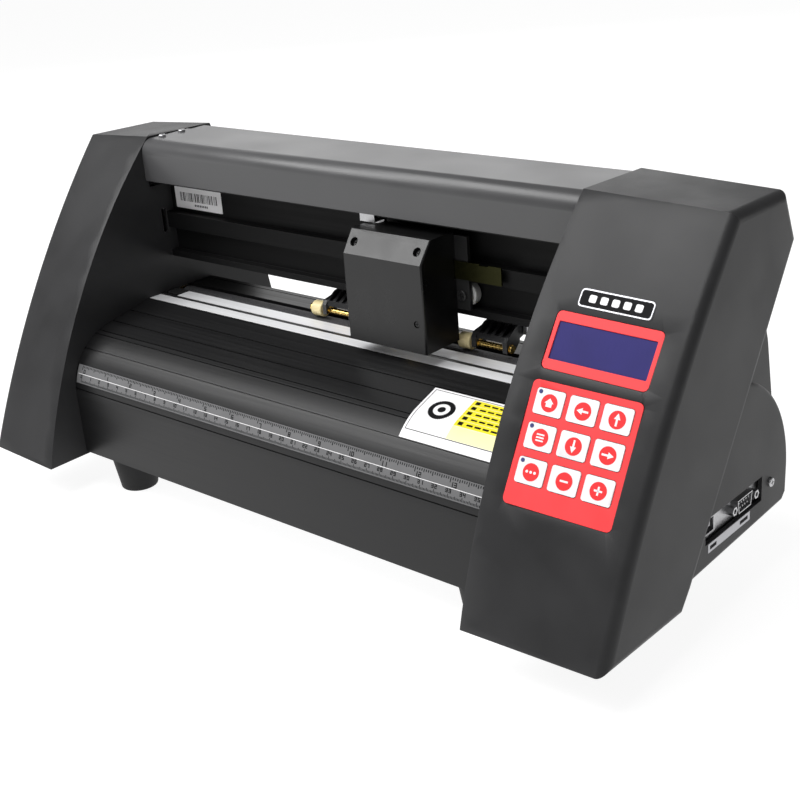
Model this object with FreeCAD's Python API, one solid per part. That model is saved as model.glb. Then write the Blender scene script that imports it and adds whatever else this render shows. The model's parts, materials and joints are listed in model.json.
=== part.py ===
import FreeCAD, Part
import math
import os

from FreeCAD import Matrix, Rotation, Vector

# Desktop vinyl cutter. Millimetres, +Z up, +X to the right, -Y towards the user.
# The origin is the centre of the footprint, on the surface that the feet stand on.

# ---- driving dimensions --------------------------------------------------------------------
WIDTH = 526.0            # over both end covers
DEPTH = 236.0            # front foot of the covers to the rear of the housings
HALF_W = WIDTH / 2
HALF_D = DEPTH / 2
LEFT_IN = -193.5         # inner face of the left cover
RIGHT_IN = 173.0         # inner face of the right cover
WALL = 2.5               # moulded covers and extrusions
SHEET = 3.0              # steel side frames
GAP = 0.2                # clearance between a cover and what passes through it
FIT = 0.05               # radial clearance of a running fit
COVER_FOOT_Z = 27.3      # underside of the covers
BASE_Z = 46.0            # underside of the base plate
BASE_T = 2.0
WING_X = 255.0           # the base plate's wings stop inside the covers
WING_Y = 56.0
VENT_Y = (10.0, 60.0)    # slots in the base plate
VENT_W = 4.0
VENTS_X = range(-130, 120, 16)

FRAME_L0 = LEFT_IN - WALL - GAP - SHEET      # left side frame, outer face
FRAME_L1 = LEFT_IN - WALL - GAP              # left side frame, inner face
FRAME_R0 = RIGHT_IN + WALL + GAP
FRAME_R1 = RIGHT_IN + WALL + GAP + SHEET
FRAME_OUTLINE = ((-92.0, BASE_Z + BASE_T), (-74.0, 110.0), (-45.0, 165.0), (6.0, 222.0),
                 (12.0, 230.0), (58.0, 230.0), (68.0, 205.0), (92.0, 135.0), (98.0, 75.0),
                 (72.0, BASE_Z + BASE_T))

# End cover outline, seen along X: front top, rear top, elbow, heel, rear foot, front foot.
IN_FRONT_TOP = (7.5, 236.9)
IN_REAR_TOP = (66.0, 235.4)
OUT_FRONT_TOP = (8.8, 233.2)
OUT_REAR_TOP = (64.5, 231.8)
ELBOW = (77.6, 203.0)
HEEL = (-31.0, 39.0)
REAR_FOOT = (-40.4, COVER_FOOT_Z)
IN_FRONT_FOOT = (-HALF_D, COVER_FOOT_Z)
OUT_FRONT_FOOT = (-HALF_D + 0.6, COVER_FOOT_Z + 2.0)
IN_BULGE = 16.5          # rise of the curved front over its chord
OUT_BULGE = 8.9
HUMP_INSET = 2.7         # the electronics hump stands in from the cover's side
HOUSING_INSET = 27.0     # the deep rear housing stands in further

# Bed: flat top, a slope, a round nose and an upright apron.
BED_Z = 122.6
NOSE_Y = -44.5           # centre of the round nose
NOSE_Z = 73.5
NOSE_R = 42.0
SLOPE_Y = -11.3          # the slope starts at the front strip
BED_T = 3.0
APRON_FOOT_Z = 29.3
GROOVES_Y = (-30.1, -46.1, -58.8, -62.4, -73.2)
GROOVE_W = 1.0
GROOVE_D = 0.8
RULER_A0 = 149.5         # ruler band, degrees round the nose
RULER_A1 = 167.5
RULER_T = 0.8
RULER_GROOVE_A = 173.0   # a fine groove under the ruler
CLIP_X1 = LEFT_IN + 13.6 # end of the small clip where the rear strip starts
STRIP_T = 2.0
CUT_Y0 = -1.0            # cutting strip, between the two bright strips
CUT_Y1 = 2.8
STRIP_END_Y = 14.1
SHELF_Y = 12.8           # the shelf under the strips stops short of the roller
REAR_BED_Y = 49.8
REAR_SHOULDER = (58.0, 116.5)
REAR_SKIRT = (100.0, 66.0)
SEAM_Y = 45.0

# Feed roller and pinch rollers
ROLLER_Y = 22.0
ROLLER_R = 9.0
ROLLER_Z = BED_Z - ROLLER_R
ROLLER_X0 = -190.0
ROLLER_X1 = 169.0
ROLLER_SLOT = 7.2        # half width of the slot in the bed
SHAFT_R = 4.0
BEARING_R = 8.0
PINCH_R = 5.3
PINCH_W = 9.0
PINCH_SHAFT_R = 2.0
PINCH_X = (-51.0, 76.0)
PINCH_Z = BED_Z + 0.3 + PINCH_R
ARM_PIVOT = (40.0, 139.0)      # y and z of the pinch arm's pivot
ARM_START = 6.0          # from the wheel's centre to the arm
ARM_W = 27.0
ARM_HUB_R = 4.6
ARM_BEAM = ((18.5, 132.6), (19.5, 136.0), (27.0, 140.6), (40.0, 143.2), (40.0, 135.0),
            (30.0, 132.2))
ARM_TAIL = ((40.0, 141.0), (60.0, 138.0), (72.0, 131.5), (70.5, 129.0), (59.0, 134.5),
            (40.0, 136.0))
ARM_CHEEK = ((17.6, 126.4), (17.6, 133.0), (19.5, 136.0), (31.0, 138.0), (31.0, 131.0),
             (26.4, 126.4))
ARM_SLOTS = 4            # slots between the arm's ribs
ARM_SLOT_W = 3.2
ARM_SLOT_PITCH = 5.6
PIVOT_R = 2.0
BRACKET_W = 30.0
BRACKET_TOP = 0.4        # gap between the bracket and the rail over it
BRACKET_SHEET = 2.5
CHEEK_T = 3.4            # the arm's cheeks, which hold the wheel's axle
EAR_CLEAR = 3.0          # the arm narrows by this beside the bracket's left ear

# Guide rail, beam and belt
RAIL_Y0 = 22.0
RAIL_Y1 = 56.0
RAIL_Z0 = 147.6
RAIL_Z1 = 233.1
BAND_Y = 15.5            # front of the rail's running band
BAND_Z0 = 169.2
BAND_Z1 = 180.5
LIP_Z = 152.0
BEAM_Y0 = 0.5
BEAM_Y1 = 59.5
BEAM_Z0 = 206.8
BEAM_Z1 = RAIL_Z1 + WALL
BEAM_ROUND = 10.0
BEAM_REAR_Z = 204.0
BEAM_GROOVE_Y = 44.0
BEAM_SCREW_Y = (16.0, 34.0)
BELT_Z0 = 204.5
BELT_W = 5.0
BELT_Y = 12.5            # the loop's centre line
BELT_T = 1.4
BELT_CLEAR = 0.3         # between a pulley and the belt round it
PULLEY_R = 5.4
BRACKET_Z = 201.0
BRACKET_T = 1.5
TEETH = 16               # teeth of the motor's and idler's pulleys
FEED_TEETH = (60, 20)    # teeth of the roller's pulley and its motor's
MOTOR_SHAFT_R = 2.5
FEED_BIG_R = 19.0        # feed drive: the roller's pulley and the motor's
FEED_SMALL_R = 6.4
FEED_BELT_X = 183.0
FEED_GAP = 12.0          # the feed motor stands off the side frame
FEED_MOTOR_Y = 62.0
FEED_MOTOR_Z = 88.0
MOTOR_HALF = 21.0        # half the side of a stepping motor
MOTOR_LENGTH = 34.0
MOTOR_BOSS_R = 11.0
MOTOR_HOLE = 15.5        # its screw holes, from its axis
MOTOR_X = 205.0
IDLER_X = -212.0

# Carriage
CAR_X0 = 14.1
CAR_X1 = 77.0
CAR_Y0 = -18.8
CAR_Y1 = 12.3            # the cover ends just in front of the plate
CAR_Z0 = 131.6
CAR_Z1 = 200.2
CAR_CHAMFER_Y = 9.4
CAR_CHAMFER_Z = 13.2
CAR_WALL = 2.0
WHEEL_R = 7.9
WHEEL_GAP = 0.3
WHEELS = (("upper", 45.5, 1), ("lower_left", 26.0, -1), ("lower_right", 81.3, -1))
AXLE_R = 2.0
CAR_PLATE_Y = 12.5       # front of the carriage plate
CAR_PLATE_TOP = 198.0
CAR_PLATE_X0 = 12.0
CAR_PLATE_X1 = 86.8
CAR_SCREWS_X = (20.5, 70.5)
CAR_SCREW_BORE = 2.9     # counterbore of the two upper screws
CAR_SCREW_SINK = 4.0
CLAMP_X0 = 10.2          # the belt clamp stands at the carriage's left end
CLAMP_X1 = 22.2
CLAMP_FOOT = 2.6         # thickness of the belt clamp's foot
CLAMP_H = 10.0
PLATE_T = 2.5            # carriage plate
PLATE_FOOT_Z = 152.0
FLAG_X0 = 62.0
FLAG_X1 = 112.0
FLAG_Z0 = 171.4
FLAG_Z1 = 182.6
FLAG_T = 1.2
FLAG_NOTCH = (96.0, 102.5)     # a notch in the flag's top edge
SIDE_SCREW_X = 70.5
SIDE_SCREW_R = 2.0
SIDE_SCREW_Z = 150.0
ROD_X = 11.0             # guide rods, each side of the tool
ROD_Y = 8.0
ROD_Z0 = 143.8
ROD_Z1 = 186.0
ROD_R = 1.5
LUG_T = 3.5              # the lugs that hold the rods
COIL_Z0 = 166.0          # lifting solenoid
COIL_Z1 = 187.0
COIL_R = 6.0
COIL_Y = -2.0
SLIDE_Z0 = 153.0
SLIDE_Z1 = 179.0
SLIDE_Y0 = -8.5
BLADE_R = 0.8
TOOL_X = 45.5
TOOL_Y = 0.9             # the blade comes down on the cutting strip
HOLDER_R = 5.7
HOLDER_Z0 = 136.0        # the barrel starts above its tapered nose
HOLDER_LENGTH = 54.0
NOSE_TIP_Z = 130.0
COLLAR_R = 7.6
KNOB_R = 4.2
BLADE_TIP_Z = 127.6
CLAMP_Z = 166.0          # height of the thumb screw
CLAMP_STEM_R = 1.5

# Control panel on the right cover, measured along the front surface
PANEL_X = 217.0
KEYPAD_Z = 123.9
KEYPAD_W = 62.8
KEYPAD_H = 66.2
BEZEL_Z = 170.3
BEZEL_W = 61.0
BEZEL_H = 31.8
SCREEN_W = 56.0
SCREEN_H = 20.7
PANEL_T = 2.0
PANEL_SINK = 0.5
KEY_W = 16.4
KEY_H = 13.6
KEY_PITCH_X = 19.4
KEY_PITCH_Y = 18.3
KEY_PROUD = 0.5
KEY_T = 1.4
KEY_UP = 4.0             # the key block sits above the keypad's middle

# Sockets on the hump's side
PORT_X = HALF_W - HUMP_INSET
PORT_Z = 63.5
PORT_HALF = 7.6
PORT_Y0 = -14.0
PORT_Y1 = 50.0
PORT_SCREW_Y = 60.0
PLATE_X = PORT_X - 4.6   # the steel plate behind the port window
SERIAL_Y = 29.5
JACK_R = 1.4             # thread of the jack screws
JACK_HOLE_R = 2.2        # their holes in the steel plate
BOARD_Z = 53.0
BOARD_T = 1.6
BOARD_X = (183.0, 252.0)
BOARD_Y = (-26.0, 76.0)
CHIPS = ((200.0, -10.0, 14.0, 14.0, 2.4), (222.0, 0.0, 10.0, 18.0, 2.4),
         (190.0, 8.0, 8.0, 20.0, 2.0), (188.0, -22.0, 10.0, 10.0, 6.0))
SERIAL_PITCH = 24.99
SERIAL_HALF_Y = 8.4      # the D-shaped shell at its wide side
SERIAL_HALF_Z = 4.2
SERIAL_LEAN = 1.4
SERIAL_BODY_Y = 9.4
SERIAL_BODY_Z = 5.0
PIN_PITCH = 2.74
USB_Y = -4.5
USB_HALF_Y = 6.0
USB_HALF_Z = 5.5
USB_MOUTH_Y = 4.3        # half the width and height of the mouth
USB_MOUTH_Z = 4.0
INLET_Y0 = 6.0           # mains inlet in the left cover
INLET_Y1 = 62.0
INLET_Z0 = 55.0
INLET_Z1 = 79.0
PLUG_Y = 21.0
PLUG_Z = 67.0
SWITCH_Y = 48.0
SWITCH_PIN_X = PORT_X - 3.0
SWITCH_PIN_R = 1.2
ROCKER_HALF_W = 5.3
ROCKER_HALF_L = 8.9
PLUG_HALF_Y = 12.4       # the hollow for the mains plug
PLUG_HALF_Z = 8.4
INLET_FLANGE = 1.2
INLET_DEPTH = 22.0
SUPPLY_X = (-256.0, -206.0)    # mains power supply in the left housing
SUPPLY_Y = (-72.0, 2.0)
SUPPLY_TOP = 88.0

# Feet
FOOT_X = (-169.0, 148.5)
FOOT_Y = (-63.0, 84.0)
FOOT_TOP_R = 20.0
FOOT_BOTTOM_R = 13.0


# ---- small helpers -------------------------------------------------------------------------
def box(x0, x1, y0, y1, z0, z1):
    return Part.makeBox(x1 - x0, y1 - y0, z1 - z0, Vector(x0, y0, z0))


def rod(axis, x, y, z, radius, length):
    """A cylinder that starts at the point and runs along +axis."""
    directions = {"x": Vector(1, 0, 0), "y": Vector(0, 1, 0), "z": Vector(0, 0, 1)}
    return Part.makeCylinder(radius, length, Vector(x, y, z), directions[axis])


def tube(axis, x, y, z, radius, bore, length):
    return rod(axis, x, y, z, radius, length).cut(rod(axis, x, y, z, bore, length))


def fuse(shapes):
    first = shapes[0]
    if len(shapes) > 1:
        first = first.fuse(shapes[1:]).removeSplitter()
    return first


def side_wire(x, edges):
    """A closed wire in the plane at x. Each edge is two (y, z) points, or three for an arc."""
    made = []
    for edge in edges:
        points = [Vector(x, y, z) for y, z in edge]
        if len(points) == 3:
            made.append(Part.Arc(points[0], points[1], points[2]).toShape())
        else:
            made.append(Part.makeLine(points[0], points[1]))
    return Part.Wire(made)


def polygon_edges(points):
    return [(points[i], points[(i + 1) % len(points)]) for i in range(len(points))]


def prism(x0, x1, edges, grow=0.0):
    """A closed side outline run along X, grown outwards by grow (or inwards if negative)."""
    wire = side_wire(x0, edges)
    if grow:
        wire = wire.makeOffset2D(grow)
    return Part.Face(wire).extrude(Vector(x1 - x0, 0, 0))


def save(name, shape):
    shape.exportStep(os.path.join("parts", name + ".step"))


def mirror_x(shape):
    return shape.mirror(Vector(0, 0, 0), Vector(1, 0, 0))


# ---- end covers ----------------------------------------------------------------------------
def bulge_point(start, end, rise):
    """The middle of an arc that bulges forwards and up from its chord."""
    middle_y = (start[0] + end[0]) / 2
    middle_z = (start[1] + end[1]) / 2
    chord = math.hypot(end[0] - start[0], end[1] - start[1])
    normal_y = (end[1] - start[1]) / chord
    normal_z = -(end[0] - start[0]) / chord
    return (middle_y + normal_y * rise, middle_z + normal_z * rise)


def cover_outline(front_top, rear_top, front_foot, rise):
    front = bulge_point(front_top, front_foot, rise)
    return [(front_top, front, front_foot), (front_foot, REAR_FOOT), (REAR_FOOT, HEEL),
            (HEEL, ELBOW), (ELBOW, rear_top), (rear_top, front_top)]


HUMP_EDGES = [((32.2, 134.4), (66.5, 110.8), (82.3, 66.0)), ((82.3, 66.0), (81.8, 48.5)),
              ((81.8, 48.5), (77.0, 44.0)), ((77.0, 44.0), (-40.0, 40.0)),
              ((-40.0, 40.0), (-45.0, 60.0)), ((-45.0, 60.0), (10.0, 134.4)),
              ((10.0, 134.4), (32.2, 134.4))]
HOUSING_EDGES = polygon_edges([(60.0, 47.0), (HALF_D, 44.2), (101.5, 131.6), ELBOW,
                               (56.0, 203.0), (-20.0, 90.0)])


def cover_solid(inner_face, inset):
    """A right-hand cover's outer form, or the hollow inside it when inset is a wall thickness."""
    x_in = inner_face + inset
    inner = side_wire(x_in, cover_outline(IN_FRONT_TOP, IN_REAR_TOP, IN_FRONT_FOOT, IN_BULGE))
    outer = side_wire(HALF_W - inset,
                      cover_outline(OUT_FRONT_TOP, OUT_REAR_TOP, OUT_FRONT_FOOT, OUT_BULGE))
    if inset:
        inner = inner.makeOffset2D(-inset)
        outer = outer.makeOffset2D(-inset)
    leaning = Part.makeLoft([inner, outer], True, True)
    if not inset:
        rim = [e for e in leaning.Edges if abs(e.BoundBox.XMin - HALF_W) < 0.01]
        leaning = leaning.makeFillet(6.0, rim)
    hump = prism(x_in, PORT_X - inset, HUMP_EDGES, -inset)
    if not inset:
        side = [e for e in hump.Edges if abs(e.BoundBox.XMin - PORT_X) < 0.01]
        hump = hump.makeFillet(3.0, side[:4])
    housing = prism(x_in, HALF_W - HOUSING_INSET - inset, HOUSING_EDGES, -inset)
    return fuse([leaning, hump, housing])


def front_y(x, z):
    """How far forward the right cover's front surface is at a width and a height."""
    share = (x - RIGHT_IN) / (HALF_W - RIGHT_IN)
    depths = []
    for top, foot, rise in ((IN_FRONT_TOP, IN_FRONT_FOOT, IN_BULGE),
                            (OUT_FRONT_TOP, OUT_FRONT_FOOT, OUT_BULGE)):
        chord = math.hypot(foot[0] - top[0], foot[1] - top[1])
        radius = (chord * chord / 4 + rise * rise) / (2 * rise)
        peak = bulge_point(top, foot, rise)
        middle = ((top[0] + foot[0]) / 2, (top[1] + foot[1]) / 2)
        centre_y = peak[0] + (middle[0] - peak[0]) * radius / rise
        centre_z = peak[1] + (middle[1] - peak[1]) * radius / rise
        depths.append(centre_y - math.sqrt(radius * radius - (z - centre_z) ** 2))
    return depths[0] + (depths[1] - depths[0]) * share


def panel_frame(x, z):
    """A frame on the front surface: local X runs right, Y runs up the surface, Z points out."""
    here = Vector(x, front_y(x, z), z)
    right = Vector(2.0, front_y(x + 1, z) - front_y(x - 1, z), 0)
    up = Vector(0, front_y(x, z + 1) - front_y(x, z - 1), 2.0).normalize()
    out = right.cross(up).normalize()
    right = up.cross(out)
    return Matrix(right.x, up.x, out.x, here.x,
                  right.y, up.y, out.y, here.y,
                  right.z, up.z, out.z, here.z,
                  0, 0, 0, 1)


def plate(width, height, low, high, corner, at=(0.0, 0.0)):
    """A plate with round corners in the panel's local frame, from height low to height high."""
    x0 = at[0] - width / 2
    y0 = at[1] - height / 2
    blank = box(x0, x0 + width, y0, y0 + height, low, high)
    uprights = [e for e in blank.Edges if abs(e.BoundBox.ZLength - (high - low)) < 1e-6]
    return blank.makeFillet(corner, uprights)


def placed(shape, frame):
    moved = shape.copy()
    moved.transformShape(frame)
    return moved


def bed_outline():
    """Everything under the bed's surface, from the apron round to the rear skirt."""
    nose = [math.radians(a) for a in (180.0, 140.0, slope_angle())]
    arc = [(NOSE_Y + NOSE_R * math.cos(a), NOSE_Z + NOSE_R * math.sin(a)) for a in nose]
    return [(arc[0], arc[1], arc[2]), (arc[2], (SLOPE_Y, BED_Z)),
            ((SLOPE_Y, BED_Z), (REAR_BED_Y, BED_Z)), ((REAR_BED_Y, BED_Z), REAR_SHOULDER),
            (REAR_SHOULDER, REAR_SKIRT), (REAR_SKIRT, (REAR_SKIRT[0], BASE_Z)),
            ((REAR_SKIRT[0], BASE_Z), (NOSE_Y - NOSE_R, BASE_Z)),
            ((NOSE_Y - NOSE_R, BASE_Z), arc[0])]


def slope_angle():
    """Where round the nose the slope to the front strip leaves it, in degrees."""
    dy = SLOPE_Y - NOSE_Y
    dz = BED_Z - NOSE_Z
    return math.degrees(math.atan2(dz, dy) + math.acos(NOSE_R / math.hypot(dy, dz)))


def rail_outline():
    return polygon_edges([(RAIL_Y0, RAIL_Z1), (RAIL_Y0, BAND_Z1), (BAND_Y, BAND_Z1),
                          (BAND_Y, BAND_Z0), (RAIL_Y0, BAND_Z0), (RAIL_Y0, LIP_Z),
                          (BAND_Y, LIP_Z), (BAND_Y, RAIL_Z0), (RAIL_Y1, RAIL_Z0),
                          (RAIL_Y1, RAIL_Z1)])


def cover(inner_face, bosses=()):
    """A right-hand cover with the windows in its inner wall, kept solid where its bosses are."""
    hollow = cover_solid(inner_face, WALL)
    if bosses:
        hollow = hollow.cut(bosses)
    shell = cover_solid(inner_face, 0.0).cut(hollow)
    x0 = inner_face - 1.0
    x1 = inner_face + WALL + 1.0
    windows = [prism(x0, x1, bed_outline(), GAP), prism(x0, x1, rail_outline(), GAP),
               flag_window(x0, x1), belt_window(x0, x1),
               box(x0, x1, NOSE_Y - NOSE_R - GAP, NOSE_Y - NOSE_R + BED_T + GAP,
                   APRON_FOOT_Z - GAP, BASE_Z + 1.0)]
    return shell.cut(windows)


def flag_window(x0, x1):
    return box(x0, x1, BAND_Y - 5.0, BAND_Y - 0.5, BAND_Z0 - 3.0, BAND_Z1 + 3.0)


def belt_window(x0, x1):
    return box(x0, x1, 3.2, RAIL_Y0 + 1.0, BELT_Z0 - 3.0, BELT_Z0 + BELT_W + 3.0)


def panel_bosses():
    """Thicker wall behind the keypad and the display, inside the right cover."""
    blocks = []
    for z, width, height in ((KEYPAD_Z, KEYPAD_W, KEYPAD_H), (BEZEL_Z, BEZEL_W, BEZEL_H)):
        block = plate(width + 8.0, height + 6.0, -6.5, 6.0, 3.0)
        blocks.append(placed(block, panel_frame(PANEL_X, z)))
    return blocks


def panel_pockets():
    deep = -PANEL_SINK - PANEL_T
    keypad = plate(KEYPAD_W + 0.5, KEYPAD_H + 0.5, deep - 1.0, 4.0, 3.0)
    bezel = plate(BEZEL_W + 0.5, BEZEL_H + 0.5, deep, 4.0, 3.0)
    return [placed(keypad, panel_frame(PANEL_X, KEYPAD_Z)),
            placed(bezel, panel_frame(PANEL_X, BEZEL_Z))]


def right_cover():
    shell = cover(RIGHT_IN, panel_bosses()).cut(panel_pockets())
    port = box(PORT_X - 6.0, HALF_W, PORT_Y0, PORT_Y1, PORT_Z - PORT_HALF, PORT_Z + PORT_HALF)
    screw = rod("x", PORT_X - 6.0, PORT_SCREW_Y, PORT_Z, 1.6, 8.0)
    return shell.cut([port, screw])


def left_cover():
    shell = cover(-LEFT_IN)
    inlet = box(PORT_X - 6.0, HALF_W, INLET_Y0, INLET_Y1, INLET_Z0, INLET_Z1)
    return mirror_x(shell.cut(inlet))


# ---- chassis -------------------------------------------------------------------------------
def side_frame(x0):
    sheet = prism(x0, x0 + SHEET, polygon_edges(FRAME_OUTLINE))
    x1 = x0 + SHEET
    holes = [rod("x", x0 - 1.0, ROLLER_Y, ROLLER_Z, BEARING_R + FIT, SHEET + 2.0),
             flag_window(x0 - 1.0, x1 + 1.0), belt_window(x0 - 1.0, x1 + 1.0)]
    return sheet.cut(holes)


def base_plate():
    top = BASE_Z + BASE_T
    front = NOSE_Y - NOSE_R + BED_T
    sheet = fuse([box(LEFT_IN - WALL, RIGHT_IN + WALL, front, REAR_SKIRT[0], BASE_Z, top),
                  box(-WING_X, WING_X, front, WING_Y, BASE_Z, top)])
    vents = [box(x, x + VENT_W, VENT_Y[0], VENT_Y[1], BASE_Z - 1.0, top + 1.0) for x in VENTS_X]
    return sheet.cut(vents)


def bed_front():
    """The curved front bed: one extrusion with its grooves and the shelf under the strips."""
    out = [math.radians(a) for a in (180.0, 140.0, slope_angle())]

    def ring(radius):
        return [(NOSE_Y + radius * math.cos(a), NOSE_Z + radius * math.sin(a)) for a in out]

    outer = ring(NOSE_R)
    inner = ring(NOSE_R - BED_T)
    shelf = BED_Z - STRIP_T
    edges = [(outer[0], outer[1], outer[2]), (outer[2], (SLOPE_Y, BED_Z)),
             ((SLOPE_Y, BED_Z), (SLOPE_Y, shelf)), ((SLOPE_Y, shelf), (SHELF_Y, shelf)),
             ((SHELF_Y, shelf), (SHELF_Y, shelf - BED_T)),
             ((SHELF_Y, shelf - BED_T), (SLOPE_Y, shelf - BED_T)),
             ((SLOPE_Y, shelf - BED_T), inner[2]), (inner[2], inner[1], inner[0]),
             (inner[0], (inner[0][0], APRON_FOOT_Z)),
             ((inner[0][0], APRON_FOOT_Z), (outer[0][0], APRON_FOOT_Z)),
             ((outer[0][0], APRON_FOOT_Z), outer[0])]
    body = prism(FRAME_L1, FRAME_R0, edges)
    cuts = [bed_groove(y) for y in GROOVES_Y]
    for start, end in ((RULER_A0 - 0.3, RULER_A1 + 0.3), (RULER_GROOVE_A, RULER_GROOVE_A + 1.2)):
        cuts.append(nose_band(start, end, NOSE_R - RULER_T, NOSE_R + 1.0,
                              FRAME_L1 - 1.0, FRAME_R0 + 1.0))
    return body.cut(cuts)


def bed_surface(y):
    """Height of the bed's surface, and its slope in degrees, at a depth."""
    start = NOSE_Y + NOSE_R * math.cos(math.radians(slope_angle()))
    if y >= SLOPE_Y:
        return BED_Z, 0.0
    if y >= start:
        tilt = slope_angle() - 90.0
        return BED_Z - (SLOPE_Y - y) * math.tan(math.radians(tilt)), tilt
    rise = math.sqrt(NOSE_R ** 2 - (y - NOSE_Y) ** 2)
    return NOSE_Z + rise, math.degrees(math.atan2(NOSE_Y - y, rise))


def bed_groove(y):
    z, tilt = bed_surface(y)
    cutter = box(FRAME_L1 - 1.0, FRAME_R0 + 1.0, -GROOVE_W / 2, GROOVE_W / 2, -GROOVE_D, 1.0)
    cutter.rotate(Vector(0, 0, 0), Vector(1, 0, 0), tilt)
    cutter.translate(Vector(0, y, z))
    return cutter


def nose_band(a0, a1, r0, r1, x0, x1):
    """A band round the nose, between two angles and two radii."""
    angles = [math.radians(a) for a in (a0, (a0 + a1) / 2, a1)]
    low = [(NOSE_Y + r0 * math.cos(a), NOSE_Z + r0 * math.sin(a)) for a in angles]
    high = [(NOSE_Y + r1 * math.cos(a), NOSE_Z + r1 * math.sin(a)) for a in angles]
    return prism(x0, x1, [(low[0], low[1], low[2]), (low[2], high[2]),
                          (high[2], high[1], high[0]), (high[0], low[0])])


def ruler():
    return nose_band(RULER_A0, RULER_A1, NOSE_R - RULER_T, NOSE_R, LEFT_IN + 1.0, RIGHT_IN - 0.5)


def bed_rear():
    """The bed behind the roller, and the skirt that leads the sheet down at the back."""
    start = ROLLER_Y + ROLLER_SLOT
    low = BED_T - 0.5
    edges = polygon_edges([(start, BED_Z), (REAR_BED_Y, BED_Z), REAR_SHOULDER, REAR_SKIRT,
                           (REAR_SKIRT[0], BASE_Z + BASE_T),
                           (REAR_SKIRT[0] - low, BASE_Z + BASE_T),
                           (REAR_SKIRT[0] - low, REAR_SKIRT[1] - 1.0),
                           (REAR_SHOULDER[0] - 1.2, REAR_SHOULDER[1] - low),
                           (REAR_BED_Y - 0.6, BED_Z - low), (start, BED_Z - low)])
    body = prism(FRAME_L1, FRAME_R0, edges)
    seam = box(FRAME_L1 - 1.0, FRAME_R0 + 1.0, SEAM_Y, SEAM_Y + 0.9, BED_Z - 0.9, BED_Z + 1.0)
    return body.cut(seam)


def bed_strips():
    """The two bright strips each side of the cutting strip."""
    shelf = BED_Z - STRIP_T
    front = box(FRAME_L1, FRAME_R0, SLOPE_Y, CUT_Y0, shelf, BED_Z)
    rear = box(LEFT_IN + 14.0, FRAME_R0, CUT_Y1, STRIP_END_Y, shelf, BED_Z)
    return Part.makeCompound([front, rear])


def cutting_strip():
    """The soft strip that the blade runs over, and the clip where the rear strip starts."""
    shelf = BED_Z - STRIP_T
    strip = box(FRAME_L1, FRAME_R0, CUT_Y0, CUT_Y1, shelf, BED_Z - 0.3)
    clip = box(LEFT_IN + 3.0, CLIP_X1, CUT_Y1 + 0.4, STRIP_END_Y - 0.4, shelf, BED_Z + 1.2)
    rim = [e for e in clip.Edges if e.BoundBox.ZMin > BED_Z + 1.0]
    return Part.makeCompound([strip, clip.makeChamfer(0.5, rim)])


def guide_rail():
    body = prism(FRAME_L1, FRAME_R0, rail_outline())
    hollow = box(FRAME_L1 - 1.0, FRAME_R0 + 1.0, RAIL_Y0 + WALL, RAIL_Y1 - WALL,
                 RAIL_Z0 + WALL, RAIL_Z1 - WALL)
    return body.cut(hollow)


def top_beam():
    """The cover extrusion over the rail: a front lip, a round front edge and a flat top."""
    def arc(radius):
        y = BEAM_Y0 + BEAM_ROUND
        z = BEAM_Z1 - BEAM_ROUND
        half = radius * math.sqrt(0.5)
        return [(y - radius, z), (y - half, z + half), (y, z + radius)]

    outer = arc(BEAM_ROUND)
    inner = arc(BEAM_ROUND - WALL)
    low_top = BEAM_Z1 - WALL
    edges = [((BEAM_Y0, BEAM_Z0), outer[0]), (outer[0], outer[1], outer[2]),
             (outer[2], (BEAM_Y1, BEAM_Z1)), ((BEAM_Y1, BEAM_Z1), (BEAM_Y1, BEAM_REAR_Z)),
             ((BEAM_Y1, BEAM_REAR_Z), (BEAM_Y1 - WALL, BEAM_REAR_Z)),
             ((BEAM_Y1 - WALL, BEAM_REAR_Z), (BEAM_Y1 - WALL, low_top)),
             ((BEAM_Y1 - WALL, low_top), inner[2]), (inner[2], inner[1], inner[0]),
             (inner[0], (BEAM_Y0 + WALL, BEAM_Z0)),
             ((BEAM_Y0 + WALL, BEAM_Z0), (BEAM_Y0, BEAM_Z0))]
    body = prism(LEFT_IN + GAP, RIGHT_IN - GAP, edges)
    groove = box(LEFT_IN, RIGHT_IN, BEAM_GROOVE_Y, BEAM_GROOVE_Y + 1.0, BEAM_Z1 - 0.9, BEAM_Z1 + 1.0)
    step = box(LEFT_IN, RIGHT_IN, BEAM_GROOVE_Y + 1.0, BEAM_Y1 + 1.0, BEAM_Z1 - 0.6, BEAM_Z1 + 1.0)
    return body.cut([groove, step])


def pan_screw(axis, x, y, z, radius, height):
    """A pan head with a cross recess, its base at the point and its head along the axis."""
    head = Part.makeCylinder(radius, height)
    rim = [e for e in head.Edges if abs(e.BoundBox.ZMin - height) < 1e-6]
    head = head.makeFillet(height * 0.45, rim)
    slot = box(-radius * 0.6, radius * 0.6, -0.3, 0.3, height - 0.7, height + 1.0)
    cross = box(-0.3, 0.3, -radius * 0.6, radius * 0.6, height - 0.7, height + 1.0)
    head = head.cut([slot, cross])
    turn = {"z": Rotation(), "-z": Rotation(Vector(1, 0, 0), 180),
            "-y": Rotation(Vector(1, 0, 0), 90), "y": Rotation(Vector(1, 0, 0), -90),
            "x": Rotation(Vector(0, 1, 0), 90), "-x": Rotation(Vector(0, 1, 0), -90)}[axis]
    head.Placement = FreeCAD.Placement(Vector(x, y, z), turn)
    return head


def chassis_screws():
    heads = [pan_screw("z", LEFT_IN + 6.0, y, BEAM_Z1, 2.6, 1.6) for y in BEAM_SCREW_Y]
    heads.append(pan_screw("x", PORT_X, PORT_SCREW_Y, PORT_Z, 2.8, 1.6))
    return Part.makeCompound(heads)


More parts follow.
